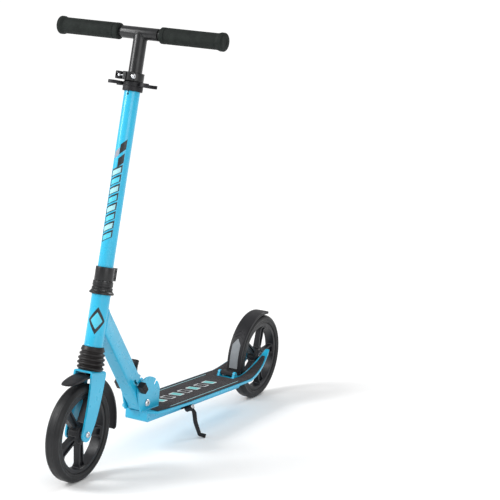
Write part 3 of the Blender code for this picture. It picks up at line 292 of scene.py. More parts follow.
INK_WHITE = printed("white_print", (0.62, 0.66, 0.68), 0.5, 0.7)
INK_TEAL = printed("teal_print", (0.09, 0.42, 0.42), 0.5, 0.7)
INK_PALE = printed("pale_print", (0.30, 0.60, 0.66), 0.5, 0.7)
INK_SKY = printed("sky_print", (0.07, 0.50, 0.66), 0.3, 0.5)
INK_GREY = printed("grey_print", (0.24, 0.25, 0.30), 0.4, 0.6)

# ---- shapes, in millimetres


def arc(centre, radius, start, end, steps=24):
    angles = [start + (end - start) * i / steps for i in range(steps + 1)]
    return [(centre[0] + radius * cos(angle), centre[1] + radius * sin(angle)) for angle in angles]


def eased(points, radius, steps=4):
    """Rounds the corners of an outline. A point may carry its own radius as a third value."""
    count = len(points)
    result = []
    for i, point in enumerate(points):
        own = point[2] if len(point) > 2 else radius
        if own <= 0:
            result.append(tuple(point[:2]))
            continue
        here = Vector(point[:2])
        before = Vector(points[i - 1][:2]) - here
        after = Vector(points[(i + 1) % count][:2]) - here
        if before.length < 1e-6 or after.length < 1e-6:
            result.append(tuple(here))
            continue
        angle = before.angle(after)
        reach = min(own / max(tan(angle / 2), 1e-3), before.length * 0.48, after.length * 0.48)
        start = here + before.normalized() * reach
        end = here + after.normalized() * reach
        for k in range(steps + 1):
            t = k / steps
            spot = start * (1 - t) ** 2 + here * 2 * t * (1 - t) + end * t ** 2
            result.append(tuple(spot))
    return result


def lathe(profile, segments=96):
    """A closed ring of (radius, height) points turned about Z. Radius 0 is a pole."""
    shape = bmesh.new()
    rings = []
    for radius, height in profile:
        if radius < 1e-6:
            rings.append([shape.verts.new((0, 0, height))])
            continue
        rings.append([shape.verts.new((radius * cos(TURN * i / segments),
                                       radius * sin(TURN * i / segments), height))
                      for i in range(segments)])
    for first, second in zip(rings, rings[1:] + rings[:1]):
        if len(first) == 1 and len(second) == 1:
            continue
        for i in range(segments):
            j = (i + 1) % segments
            corners = [first[i % len(first)], first[j % len(first)], second[j % len(second)],
                       second[i % len(second)]]
            shape.faces.new(list(dict.fromkeys(corners)))
    return shape


def tube(outer, inner, low, high, edge=0.6, segments=96):
    corners = [(outer, low, edge), (outer, high, edge), (inner, high, edge * 0.5), (inner, low, edge * 0.5)]
    return lathe(eased(corners, edge, 3), segments)


def rod(radius, low, high, edge=0, segments=64):
    profile = [(0, low, 0), (radius, low, edge), (radius, high, edge), (0, high, 0)]
    return lathe(eased(profile, edge, 3), segments)


def hexagon(corner, low, high):
    """Solid hexagonal bar up Z; corner is its radius over the corners."""
    return lathe([(0, low), (corner, low), (corner, high), (0, high)], 6)


def prism(outline, low, high, axis="X"):
    shape = bmesh.new()
    order = {"X": lambda a, b, c: (c, a, b), "Y": lambda a, b, c: (a, c, b), "Z": lambda a, b,
             c: (a, b, c)}[axis]
    ends = [[shape.verts.new(order(a, b, level)) for a, b in outline] for level in (low, high)]
    shape.faces.new(ends[0])
    shape.faces.new(ends[1])
    for i in range(len(outline)):
        j = (i + 1) % len(outline)
        shape.faces.new([ends[0][i], ends[0][j], ends[1][j], ends[1][i]])
    return shape


def box(low, high, edge=0, steps=3):
    shape = bmesh.new()
    bmesh.ops.create_cube(shape, size=1)
    for vert in shape.verts:
        vert.co = Vector(low[k] + (vert.co[k] + 0.5) * (high[k] - low[k]) for k in range(3))
    if edge:
        bmesh.ops.bevel(shape, geom=list(shape.edges), offset=edge, segments=steps, affect="EDGES",
                        profile=0.5)
    return shape


def loft(stations, looped=False):
    """Skin over cross-sections that all have the same number of points."""
    shape = bmesh.new()
    rings = [[shape.verts.new(point) for point in ring] for ring in stations]
    pairs = list(zip(rings, rings[1:])) + ([(rings[-1], rings[0])] if looped else [])
    for first, second in pairs:
        for i in range(len(first)):
            j = (i + 1) % len(first)
            shape.faces.new([first[i], first[j], second[j], second[i]])
    if not looped:
        shape.faces.new(rings[0])
        shape.faces.new(rings[-1])
    return shape


def smooth_path(points, steps=8):
    """Catmull-Rom curve through the points."""
    points = [Vector(point) for point in points]
    ends = [points[0] * 2 - points[1]] + points + [points[-1] * 2 - points[-2]]
    result = []
    for i in range(1, len(ends) - 2):
        a, b, c, d = ends[i - 1:i + 3]
        for k in range(steps):
            t = k / steps
            result.append(0.5 * ((2 * b) + (c - a) * t + (2 * a - 5 * b + 4 * c - d) * t ** 2
                                 + (3 * b - a - 3 * c + d) * t ** 3))
    return result + [points[-1]]


def sweep(path, radii, sides=20, looped=False):
    """A round bar along a path; radii is one number or one for each point."""
    stations = []
    normal = None
    count = len(path)
    for i, point in enumerate(path):
        before = path[i - 1] if looped or i else path[0]
        after = path[(i + 1) % count] if looped or i < count - 1 else path[-1]
        along = (after - before).normalized()
        if normal is None:
            normal = along.orthogonal().normalized()
        normal = (normal - along * normal.dot(along)).normalized()
        across = along.cross(normal)
        radius = radii[i] if isinstance(radii, (list, tuple)) else radii
        spokes = [normal * cos(TURN * k / sides) + across * sin(TURN * k / sides) for k in range(sides)]
        stations.append([point + spoke * radius for spoke in spokes])
    return loft(stations, looped=looped)


def moved(shape, x=0, y=0, z=0, turn=None):
    matrix = Matrix.Translation((x, y, z))
    if turn is not None:
        matrix = matrix @ turn
    bmesh.ops.transform(shape, matrix=matrix, verts=shape.verts)
    return shape


def sideways(shape, x=0, y=0, z=0):
    """The shape turned to lie along X, then moved."""
    return moved(shape, x, y, z, ALONG_X)


def joined(shapes):
    """Several loose shapes in one mesh, with no Boolean."""
    whole = bmesh.new()
    for shape in shapes:
        mesh = bpy.data.meshes.new("part")
        shape.to_mesh(mesh)
        shape.free()
        whole.from_mesh(mesh)
        bpy.data.meshes.remove(mesh)
    return whole


def helper(shape):
    bmesh.ops.remove_doubles(shape, verts=shape.verts, dist=1e-5)
    bmesh.ops.recalc_face_normals(shape, faces=shape.faces)
    mesh = bpy.data.meshes.new("helper")
    shape.to_mesh(mesh)
    shape.free()
    return shown("helper", mesh)


def carved(base, add=(), keep=(), cut=()):
    """Joins, intersects and cuts solids with exact Booleans; returns one bmesh."""
    target = helper(base)
    tools = []
    for operation, shapes in (("UNION", add), ("INTERSECT", keep), ("DIFFERENCE", cut)):
        for shape in shapes:
            tools.append(helper(shape))
            boolean = target.modifiers.new(operation, "BOOLEAN")
            boolean.operation = operation
            boolean.solver = "EXACT"
            boolean.object = tools[-1]
    graph = bpy.context.evaluated_depsgraph_get()
    mesh = bpy.data.meshes.new_from_object(target.evaluated_get(graph))
    result = bmesh.new()
    result.from_mesh(mesh)
    for obj in [target] + tools:
        spare = obj.data
        bpy.data.objects.remove(obj)
        bpy.data.meshes.remove(spare)
    bpy.data.meshes.remove(mesh)
    return result


def piece(name, shape, place, body, finish, replaces=(), edge=0, steps=3, angle=32):
    """Names a shape, gives it its finish and makes it move with a CAD body."""
    bmesh.ops.remove_doubles(shape, verts=shape.verts, dist=2e-4)
    bmesh.ops.recalc_face_normals(shape, faces=shape.faces)
    bmesh.ops.transform(shape, matrix=place @ Matrix.Scale(MM, 4), verts=shape.verts)
    mesh = bpy.data.meshes.new(name)
    shape.to_mesh(mesh)
    shape.free()
    mesh.materials.append(finish)
    mesh.shade_smooth()
    obj = shown(name, mesh)
    if edge:
        bevel = obj.modifiers.new("edges", "BEVEL")
        bevel.width = edge * MM
        bevel.segments = steps
        bevel.limit_method = "ANGLE"
        bevel.angle_limit = radians(angle)
        bevel.harden_normals = True
    mesh.set_sharp_from_angle(angle=radians(angle))
    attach(obj, body)
    for node in replaces:
        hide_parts(node)
    return obj


# ---- wheels


def tyre_outline():
    """Half of the tyre's section from its bed to the tread, as (radius, half width)."""
    crown = [(91 + 9 * sin(t), 15 - 9 * (1 - cos(t))) for t in [pi / 2 * k / 14 for k in range(15)]]
    wall = [(82, 11.6), (82.6, 12.8), (84, 13.6), (85, 13.7), (85.4, 14.1), (86.6, 14.2), (87, 13.9),
            (90.2, 14.8), (90.6, 15)]
    tread = [(100, 5.4), (99.55, 5), (99.55, 4.5), (100, 4.1)]
    return wall + crown[1:] + tread


def spoke_window(index):
    """Opening between two spokes, rounded in its corners and wider at the rim."""
    span = TURN / 5
    middle = span * (index + 0.5) + pi / 2
    outer = span / 2 - asin(10.5 / 73.5)
    inner = span / 2 - asin(6.5 / 21)
    outline = arc((0, 0), 73.5, middle - outer, middle + outer, 14)
    outline += arc((0, 0), 20.6, middle + inner, middle - inner, 4)
    outline[0] = (*outline[0], 7)
    outline[14] = (*outline[14], 7)
    outline[15] = (*outline[15], 3.5)
    outline[-1] = (*outline[-1], 3.5)
    return eased(outline, 0, 6)


def spoke_pocket(index, side):
    """Shallow recess along a spoke's face, which leaves a rib down each edge."""
    angle = TURN / 5 * index + pi / 2
    along = Vector((cos(angle), sin(angle)))
    across = Vector((-along.y, along.x))
    spots = [along * r + across * w
             for r, w in ((25, 2.4), (66, 6.2), (70, 6.6), (70, -6.6), (66, -6.2), (25, -2.4))]
    low, high = (3.6, 20) if side > 0 else (-20, -3.6)
    return prism(eased([tuple(spot) for spot in spots], 2, 4), low, high, "Z")


def wheel(prefix, hub, body, phase):
    half = tyre_outline()
    ring = half + [(radius, -width) for radius, width in reversed(half)]
    tyre = lathe(ring, 192)
    piece(f"{prefix}_tyre_skin", sideways(tyre), hub, body, TYRE_PU, [f"{prefix}_tyre"])
    rim = [(81.7, 11.5, 0.8), (73.5, 11.5, 1.2), (72.2, 9.6, 1), (67, 7.4, 2), (64, 6, 1), (24, 7.2, 1),
           (20.5, 9, 1), (19, 9.4, 0.6), (17.4, 12.9, 1), (11.15, 13, 0.3)]
    section = eased(rim + [(radius, -width, ease) for radius, width, ease in reversed(rim)], 1, 3)
    core = carved(lathe(section, 160),
                  cut=[prism(spoke_window(i), -20, 20, "Z") for i in range(5)]
                  + [spoke_pocket(i, side) for i in range(5) for side in (1, -1)])
    turned = Matrix.Rotation(phase, 4, "X") @ ALONG_X
    piece(f"{prefix}_spoked_core", moved(core, turn=turned), hub, body, CORE_PLASTIC,
          [f"{prefix}_wheel_core"], edge=0.9, angle=40)
    for side, sign in SIDES:
        face = sign * 13
        outer = [(11, 0, 0.3), (11, 7, 0.3), (9.2, 7, 0.2), (9.2, 6.6, 0.1), (9, 0.5, 0), (9, 0, 0)]
        inner = [(6.3, 0, 0), (6.3, 7, 0.2), (4.1, 7, 0.4), (4.1, 0, 0.2)]
        races = [lathe(eased(outer, 0, 3), 64), lathe(eased(inner, 0, 3), 64)]
        flip = Matrix.Rotation(0 if sign > 0 else pi, 4, "Y") @ ALONG_X
        piece(f"{prefix}_bearing_races_{side}", moved(joined(races), face - sign * 7, turn=flip), hub,
              body, TURNED, [f"{prefix}_bearing_{side}"])
        seal = tube(9.1, 6.2, 0.4, 6.4, 0.2, 64)
        piece(f"{prefix}_bearing_seal_{side}", moved(seal, face - sign * 7, turn=flip), hub, body, SEAL)


def axle(prefix, hub, body, out):
    """Button-headed bolt with a hexagon socket on the left, a lock nut on the right."""
    head = [(0, -out - 5), (3.4, -out - 5), (4, -out - 4.4), (4, out + 0.3), (6.5, out + 0.3),
            (6.5, out + 1.3), (6.1, out + 2.6), (5.2, out + 3.6), (3.6, out + 4.2), (0, out + 4.2)]
    socket = hexagon(2.9, out + 1.6, out + 7.6)
    bolt = carved(lathe(head, 64), cut=[socket])
    piece(f"{prefix}_axle_button_bolt", sideways(bolt), hub, body, BOLT, [f"{prefix}_axle_bolt"])
    piece(f"{prefix}_lock_nut", sideways(nut(7, 4.5, -out - 4.8, -out - 0.3)), hub, body, BOLT,
          [f"{prefix}_axle_nut"])
    for side, sign in SIDES:
        low, high = sorted((sign * 13.3, sign * 17.7))
        piece(f"{prefix}_spacer_sleeve_{side}", sideways(tube(7, 4.1, low, high, 0.5, 64)), hub,
              body, TURNED, [f"{prefix}_spacer_{side}"])


def nut(corner, bore, low, high):
    """Hexagon nut with chamfered corners."""
    hexagon = lathe([(corner, low), (corner, high), (bore, high), (bore, low)], 6)
    chamfer = lathe([(0, low - 1), (corner * 0.8, low - 1), (corner * 1.01, low + 1.1),
                     (corner * 1.01, high - 0.7), (corner * 0.9, high + 1), (0, high + 1)], 72)
    return carved(hexagon, keep=[chamfer])


wheel("front", FRONT_HUB, "front_wheel", 0)
wheel("rear", REAR_HUB, "rear_wheel", 0.1)
axle("front", FRONT_HUB, "fork_lower", 22)
axle("rear", REAR_HUB, "deck", 24)

# ---- fork, fender and boot


def fork_blade():
    """One bent plate: rounded top corners, and legs that narrow towards the axle."""
    outside = [(-22, -18, 0), (-22, 127, 6), (22, 127, 6), (22, -18, 0)]
    inside = [(18, -18, 0), (18, 123, 2.4), (-18, 123, 2.4), (-18, -18, 0)]
    bent = prism(eased(outside + inside, 0, 6), -40, 40, "Y")
    foot = arc((-AXLE_LEAD, 0), 15.5, radians(-4), radians(-172), 30)
    front = [(-22.6, 14), (-20.8, 40), (-20.2, 66), (-21.4, 92), (-23.6, 112), (-24, 121), (-23.4, 127.5)]
    rear = [(28.4, 127.5), (29, 121), (28.4, 104), (26.2, 78), (22.6, 50), (16.6, 22)]
    side = [(point.x, point.y) for point in smooth_path([(a, b, 0) for a, b in front], 5)]
    side_back = [(point.x, point.y) for point in smooth_path([(a, b, 0) for a, b in rear], 5)]
    profile = prism(foot + side + side_back, -30, 30)
    post = rod(11.2, 121, 247.8, 1, 72)
    weld = lathe(eased([(9, 126.6, 0), (13.4, 126.6, 0), (12.9, 127.6, 1), (11.4, 129.4, 1),
                        (9, 129.4, 0)], 1, 4), 72)
    hole = sideways(rod(4.15, -30, 30, 0, 48), y=-AXLE_LEAD)
    return carved(bent, keep=[profile], cut=[hole]), post, weld


def fork():
    blade, post, weld = fork_blade()
    piece("fork_bent_plate", blade, FORK, "fork_lower", BLUE, ["fork"], edge=0.8, angle=40)
    piece("fork_post", joined([post, weld]), FORK, "fork_lower", BLUE)


def fender_skin(radius, thick, half, start, end, drop, tips, tapers, straight, steps=64):
    """Bent strip with a domed top and turned-down edges, narrowed at each end by its tip.

    Angles run from +Y towards +Z, in degrees. The strip then goes on straight along its tangent.
    """
    bend = radius * radians(end - start)
    run = bend + straight
    stations = []
    for i in range(steps + 1):
        at = run * i / steps
        angle = radians(start) + min(at, bend) / radius
        beyond = max(at - bend, 0)
        width = half
        for tip, taper, away in zip(tips, tapers, (at, run - at)):
            share = min(away / taper, 1)
            width = min(width, half * (tip + (1 - tip) * sqrt(max(0, 1 - (1 - share) ** 2))))
        skirt = drop * (0.3 + 0.7 * width / half)
        outer = [(-1, -skirt), (-1, -1.2), (-0.94, -0.5), (-0.8, -0.16), (-0.45, 0), (0, 0), (0.45, 0),
                 (0.8, -0.16), (0.94, -0.5), (1, -1.2), (1, -skirt)]
        inner = [(x * (1 - 1.6 / width) if abs(x) > 0.9 else x * (1 - 0.8 / width),
                  y - (thick if abs(x) < 0.9 else 0)) for x, y in reversed(outer)]
        inner = [(x, min(y, -thick) if abs(x) < 0.93 else y) for x, y in inner]
        stations.append([(x * width, (radius + y) * cos(angle) - beyond * sin(angle),
                          (radius + y) * sin(angle) + beyond * cos(angle)) for x, y in outer + inner])
    return loft(stations)


def front_fender():
    skin = fender_skin(118.5, 2, 17.4, 2, 108, 5, (0.8, 0.2), (8, 48), 45)
    boss = moved(rod(6, 0, 5.2, 0.8, 48), y=AXLE_LEAD, z=117.4)
    piece("front_fender_skin", joined([skin, boss]), FRONT_HUB, "fork_lower", BLACK_PLASTIC,
          ["front_fender"], angle=50)


def boot():
    """Rubber boot: five soft folds that widen downwards, and a plain collar at each end."""
    low, high = 127.3, 174.7
    crests = (27.4, 28.3, 27.6, 26.2, 24.6)
    pitch = (high - low - 2.4) / len(crests)
    outside = [(24.2, low, 0.4), (24.4, low + 1.4, 0.4)]
    for i, crest in enumerate(crests):
        start = low + 1.2 + i * pitch
        outside += [(crest - 0.9, start + 0.2 * pitch, 1.2), (crest, start + 0.42 * pitch, 1.6),
                    (crest - 1.1, start + 0.6 * pitch, 1.2), (crest - 4.6, start + 0.92 * pitch, 1.1)]
    outside[-1] = (22.4, high - 1.6, 0.5)
    outside += [(21.7, high, 0.4), (20.2, high, 0.3)]
    skin = lathe(eased(outside + [(17.6, high - 4, 0), (19.4, low, 0)], 1, 4), 112)
    boot_skin = piece("fork_boot", skin, FORK, "fork_lower", BOOT_RUBBER, ["fork_bellows"])
    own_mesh(boot_skin)


def spring(name, place, body, radius, wire, low, high, turns, replaces):
    path = []
    for i in range(int(turns * 28) + 1):
        share = i / (turns * 28)
        run = min(max((share * turns - 0.9) / (turns - 1.8), 0), 1)
        path.append(Vector((radius * cos(TURN * turns * share), radius * sin(TURN * turns * share),
                            low + wire + (high - low - 2 * wire) * run)))
    return piece(name, sweep(path, wire * 0.6, 10), place, body, TURNED, replaces)


fork()
front_fender()
boot()

# ---- springs


def springs():
    coil = spring("fork_coil_spring", FORK, "fork_lower", 8.6, 1.9, 248.3, 302.7, 7, ["suspension_spring"])
    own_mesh(coil)
    along_tube = shifted(TUBE, z=-4) @ ALONG_Y
    small = spring("lock_coil_spring", along_tube, "latch", 4.6, 1, 71.7, 95.7, 6, ["lock_spring"])
    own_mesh(small)


springs()

# ---- main frame and headset

TUBE_ANGLE = radians(40.4)
TUBE_IN_FORK = Matrix.Translation((0, 215, 56.5)) @ Matrix.Rotation(pi - TUBE_ANGLE, 4, "X")


def tube_section(half_width, half_height, corner):
    """The down tube's rounded rectangle, as (x, z)."""
    return eased([(-half_width, -half_height), (half_width, -half_height), (half_width, half_height),
                  (-half_width, half_height)], corner, 8)


def reach_of_tube(x, z, radius):
    """How far up the tube the point (x, z) of its section meets a cylinder round the steering axis."""
    return (215 - sin(TUBE_ANGLE) * z - sqrt(max(radius ** 2 - x ** 2, 0))) / cos(TUBE_ANGLE)


def main_frame():
    head = lathe(eased([(19.5, 175, 0.8), (19.5, 178.4, 0.3), (19.2, 178.9, 0.3), (19.2, 277.1, 0.3),
                        (19.5, 277.6, 0.3), (19.5, 281, 0.8), (16.4, 281, 0.4), (16.4, 175, 0.4)], 1, 3),
                 96)
    section = tube_section(16, 19.5, 4.2)
    body = loft([[(x, 0, z) for x, z in section], [(x, reach_of_tube(0, z, 8), z) for x, z in section]])
    knuckle = sideways(rod(19.8, -16.25, 16.25, 1.2, 80))
    inner = tube_section(13.5, 17, 2)
    hollow = loft([[(x, 26, z) for x, z in inner], [(x, 96, z) for x, z in inner]])
    slot = prism(arc((72.4, 0), 3, -pi / 2, pi / 2, 12) + arc((60.4, 0), 3, pi / 2, 1.5 * pi, 12), -22, 22)
    window = box((-5, 54, -25), (5, 86, -14), 0)
    bush = sideways(rod(8.3, -25, 25, 0, 48))
    bore = rod(16.4, 170, 290, 0, 96)
    shape = carved(head, add=[moved(body, turn=TUBE_IN_FORK), moved(knuckle, turn=TUBE_IN_FORK)],
                   cut=[bore] + [moved(tool, turn=TUBE_IN_FORK) for tool in (hollow, slot, window, bush)])
    piece("welded_main_frame", shape, FORK, "frame", BLUE, ["main_frame"], angle=30)
    section = tube_section(15.6, 19.1, 5)
    bead = [TUBE_IN_FORK @ Vector((x, reach_of_tube(x, z, 19.6) - 0.3, z)) for x, z in section]
    path = []
    for i, spot in enumerate(bead):
        nearby = bead[(i + 1) % len(bead)]
        count = max(1, round((nearby - spot).length / 0.8))
        path += [spot.lerp(nearby, k / count) for k in range(count)]
    radii = [1.9 + 0.28 * sin(1.25 * i) for i in range(len(path))]
    piece("head_weld_bead", sweep(path, radii, 12, looped=True), FORK, "frame", BLUE, angle=60)


def headset():
    flange = [(16.1, 271, 0), (16.1, 281.3, 0), (24.2, 281.3, 0.4), (25.2, 282.4, 0.8), (25.1, 284.9, 1),
              (22.4, 287.2, 1), (21.6, 289, 0.5), (18, 289, 0.2), (18, 283, 0), (15.2, 283, 0),
              (15.2, 274, 0), (14.2, 274, 0), (14.2, 271, 0)]
    piece("headset_dust_flange", lathe(eased(flange, 1, 4), 112), FORK, "frame", BLACK_METAL,
          ["headset_upper_cup"])
    lower = [(16.1, 170, 0.4), (16.1, 186, 0.3), (14.2, 186, 0), (14.2, 184, 0), (15.2, 184, 0),
             (15.2, 170, 0.2)]
    piece("headset_lower_shell", lathe(eased(lower, 1, 3), 80), FORK, "frame", BLACK_METAL,
          ["headset_lower_cup"])
    stack = [(14.2, 289.6, 0), (21.4, 289.6, 0.5), (21.4, 294.4, 0.7), (19.8, 295.2, 0.5),
             (19.8, 296.8, 0.4), (21, 297.6, 0.5), (21, 300.4, 0.4), (20.5, 300.8, 0.2),
             (20.5, 301.4, 0.2), (20.9, 301.8, 0.4), (20.6, 307.4, 0.7), (14.2, 307.4, 0)]
    body = lathe(eased(stack, 1, 4), 112)
    grooves = [moved(rod(1.1, 289, 293.8, 0.3, 16), 21.9 * cos(TURN * k / 24),
                     21.9 * sin(TURN * k / 24)) for k in range(24)]
    piece("headset_lock_rings", carved(body, cut=grooves), FORK, "steerer", BLACK_METAL,
          ["headset_nut"], edge=0.25, steps=2)


main_frame()
headset()

# ---- steering tube, its clamp and its prints


def wrapped(sides, radius, steps=10):
    """A thin print round the steering axis; each side is two spots, (degrees from the front, height)."""
    left, right = [[Vector(spot) for spot in side] for side in sides]
    stations = []
    for k in range(steps + 1):
        low, high = [left[n].lerp(right[n], k / steps) for n in range(2)]
        spots = [low.lerp(high, m / 6) for m in range(7)]
        ring = [(radius + 0.12, spot) for spot in spots]
        ring += [(radius + 0.02, spot) for spot in reversed(spots)]
        stations.append([(r * sin(radians(angle)), -r * cos(radians(angle)), height)
                         for r, (angle, height) in ring])
    return loft(stations)


def slanted(left, right, low, high, slope):
    """A band between two angles whose ends rise by slope from its left side to its right side."""
    return (((left, low), (left, high)), ((right, low + slope), (right, high + slope)))


def steering_tube():
    shell = tube(16, 14.4, 309, 698, 0.5, 112)
    slit = box((-1.2, -22, 684), (1.2, -8, 705))
    eye = moved(rod(2.4, 6, 24, 0, 40), z=684, turn=Matrix.Rotation(pi / 2, 4, "X"))
    piece("steering_column_tube", carved(shell, cut=[slit, eye]), FORK, "steerer", BLUE,
          ["steering_tube"], edge=0.3, steps=2)
    for index, (left, right, low, high, slope, ink) in enumerate(((6, 50, 562, 582, 12, INK_BLACK),
                                                                  (4, 46, 535, 554, 12, INK_BLACK),
                                                                  (-36, 4, 551, 566, 10, INK_GREY))):
        piece(f"column_check_{index + 1}", wrapped(slanted(left, right, low, high, slope), 16),
              FORK, "steerer", ink, angle=40)
    for index in range(8):
        low = 384 + index * 18.6
        outer = slanted(-36, 44, low, low + 15.4, 13)
        inner = slanted(-27, 35, low + 3.2, low + 13.4, 10)
        ink = INK_PALE if index % 2 else INK_SKY
        piece(f"column_bar_rim_{index + 1}", wrapped(outer, 16), FORK, "steerer", INK_BLACK, angle=40)
        piece(f"column_bar_{index + 1}", wrapped(inner, 16.1), FORK, "steerer", ink, angle=40)


CLAMP_BOLTS = (("lower", 315.5), ("upper", 328.5))


def lower_clamp():
    ring = tube(19.2, 16.4, 308, 336, 1.4, 112)
    ears = prism(eased([(-9, 14, 0), (9, 14, 0), (9, 35, 3.2), (-9, 35, 3.2)], 1, 6), 308.6, 335.4, "Z")
    slit = box((-1, 10, 300), (1, 40, 345))
    cuts = [slit, rod(16.4, 300, 345, 0, 96)]
    for name, height in CLAMP_BOLTS:
        cuts.append(sideways(rod(2.9, -20, 20, 0, 32), y=27, z=height))
        cuts.append(sideways(rod(4.9, 4.6, 20, 0, 40), y=27, z=height))
    piece("column_split_clamp", carved(ring, add=[ears], cut=cuts), FORK, "steerer", BLACK_METAL,
          ["lower_clamp"], edge=0.6, angle=36)
    for name, height in CLAMP_BOLTS:
        head = [(0, -9), (2.1, -9), (2.5, -8.6), (2.5, 4.9), (4.4, 4.9), (4.4, 9.2), (3.9, 9.8), (0, 9.8)]
        socket = hexagon(2.1, 7.2, 12)
        bolt = carved(lathe(head, 48), cut=[socket])
        piece(f"cap_screw_{name}", sideways(bolt, y=27, z=height), FORK, "steerer", BLACK_METAL,
              [f"clamp_bolt_{name}"], edge=0.15, steps=2)


steering_tube()
lower_clamp()

# ---- upper clamp, lever and grip holder


CLAMP_ROD = {"y": -25.5, "z": 718.25}


def upper_clamp():
    collar = tube(19.4, 14.4, 709.5, 727, 1.2, 112)
    ears = prism(eased([(-10, -32, 3.4), (10, -32, 3.4), (10, -12, 0), (-10, -12, 0)], 1, 6), 710,
                 726.5, "Z")
    slit = box((-1.2, -40, 700), (1.2, -8, 735))
    hole = sideways(rod(2.9, -30, 30, 0, 40), **CLAMP_ROD)
    bore = rod(14.4, 700, 735, 0, 96)
    groove = tube(20.5, 19, 713.2, 714.4, 0, 96)
    piece("stem_split_clamp", carved(collar, add=[ears], cut=[bore, slit, hole, groove]), FORK,
          "steerer", BLACK_METAL, ["upper_clamp"], edge=0.6, angle=36)
    link = lathe(eased([(0, -20.5, 0), (2.5, -20.5, 0), (2.5, 10.3, 0), (5, 10.3, 0.3), (5, 14.6, 0.9),
                        (4.2, 15.4, 0.3), (0, 15.4, 0)], 1, 3), 48)
    cross = moved(rod(3, -7, 7, 0.5, 40), z=-20.5, turn=Matrix.Rotation(-pi / 2, 4, "Y"))
    socket = hexagon(2.4, 13, 18)
    shape = carved(link, add=[cross], cut=[socket])
    piece("clamp_draw_rod", sideways(shape, **CLAMP_ROD), FORK, "steerer", BOLT, ["clamp_rod"],
          edge=0.15, steps=2)


def lever():
    cam = rod(7.5, -7.6, 7.6, 1.2, 64)
    stations = []
    route = smooth_path([(-1.5, 2, 0), (-3, 12, 0), (-3.5, 24, 0), (-1.5, 36, 0), (3.5, 47, 0)], 6)
    for spot in route:
        half = 7.2 - 0.05 * spot.y
        thick = 3.3 - 0.02 * spot.y
        end = max(0, (spot.y - 42) / 5)
        half *= 1 - 0.28 * end ** 2
        ring = eased([(-thick, -half), (thick, -half), (thick, half), (-thick, half)],
                     min(thick, half) * 0.55, 4)
        stations.append([(spot.x + a, spot.y, b) for a, b in ring])
    slot = box((-6.8, -12, -3), (14, 3, 3))
    hole = rod(3.2, -12, 12, 0, 40)
    ribs = [box((-9, 14 + 5 * k, -4.4), (-5.4, 16 + 5 * k, 4.4), 0.5) for k in range(5)]
    piece("cam_lever", carved(cam, add=[loft(stations)], cut=[slot, hole] + ribs), LEVER,
          "clamp_lever", BLACK_PLASTIC, ["quick_release_lever"], edge=0.4, angle=36)


def grip_holder():
    profile = [(20.2, 690, 0.4), (20.4, 691.2, 0.5), (20.4, 699.4, 0.4), (19.9, 699.8, 0.2),
               (19.9, 700.2, 0.2), (20.4, 700.6, 0.4), (20.4, 708.2, 0.6), (19.8, 708.9, 0.3),
               (14.4, 708.9, 0), (14.4, 698.4, 0), (16.3, 698.4, 0), (16.3, 690, 0)]
    ring = lathe(eased(profile, 1, 3), 112)
    clips = []
    for sign in (1, -1):
        centre = (sign * 38.5, -3)
        facing = 0 if sign > 0 else pi
        half = radians(62)
        outer = arc(centre, 19.5, facing + half, facing + TURN - half, 40)
        inner = arc(centre, 16.8, facing + TURN - half, facing + half, 40)
        for curve in (outer, inner):
            curve[0], curve[-1] = (*curve[0], 1.2), (*curve[-1], 1.2)
        clips.append(prism(eased(outer + inner, 0, 4), 700.7, 707.6, "Z"))
    bore = [rod(16.3, 680, 698.4, 0, 96), rod(14.4, 680, 720, 0, 96)]
    piece("grip_stow_ring", carved(ring, add=clips, cut=bore), FORK, "steerer", BLACK_PLASTIC,
          ["grip_holder"], edge=0.7, angle=36)


upper_clamp()
lever()
grip_holder()

# ---- handlebar and grips

BAR = shifted(FORK, z=BAR_HEIGHT)


def handlebar():
    stem = tube(14, 12.2, 420, BAR_HEIGHT, 0.4, 112)
    sleeve = sideways(rod(12.5, -42, 42, 0.9, 96), z=BAR_HEIGHT)
    bore = sideways(rod(10.3, -60, 60, 0, 96), z=BAR_HEIGHT)
    piece("telescopic_stem", carved(stem, add=[sleeve], cut=[bore]), FORK, "stem", BLACK_METAL,
          ["t_bar"], edge=0.3, steps=2)
    spots = []
    for k in range(64):
        angle = TURN * k / 64
        x, y = 13.9 * cos(angle), 13.9 * sin(angle)
        across = min(abs(y), 12.4)
        spots.append(Vector((x, y, BAR_HEIGHT - sqrt(max(12.6 ** 2 - across ** 2, 0)) - 0.2)))
    radii = [1.5 + 0.22 * sin(2.1 * i) for i in range(len(spots))]
    piece("stem_weld_bead", sweep(spots, radii, 12, looped=True), FORK, "stem", BLACK_METAL, angle=60)


def grips():
    for side, sign, body in (("left", 1, "left_grip"), ("right", -1, "right_grip")):
        low, high = sorted((sign * 6, sign * 188.7))
        piece(f"plug_tube_{side}", sideways(tube(10, 8.4, low, high, 0.5, 80)), BAR, body, BLACK_METAL,
              [f"grip_tube_{side}"])
        outline = [(10.3, 48, 0), (15.2, 48, 0.8), (16.6, 49.6, 1.2), (16.75, 53.5, 2), (16.6, 58.4, 0.8),
                   (15.7, 59.2, 0.5), (15.7, 60, 0.5), (16.5, 61.4, 1.2), (16.4, 120, 10),
                   (16.5, 176.5, 2), (17.3, 178.6, 1.4), (18.6, 182.6, 2), (18.6, 189.4, 1.8),
                   (17, 191.4, 1.4), (13.4, 192, 0.8), (7, 192, 0.6), (6.4, 191.2, 0.4), (0, 191.2, 0),
                   (0, 189, 0), (10.3, 189, 0)]
        shape = lathe(eased(outline, 1, 5), 112)
        if sign < 0:
            bmesh.ops.scale(shape, vec=(1, 1, -1), verts=shape.verts)
        grip = piece(f"foam_grip_{side}", sideways(shape), BAR, body, GRIP_FOAM, [f"grip_{side}"])


handlebar()
grips()

# ---- fold pivot, its plates and its lock


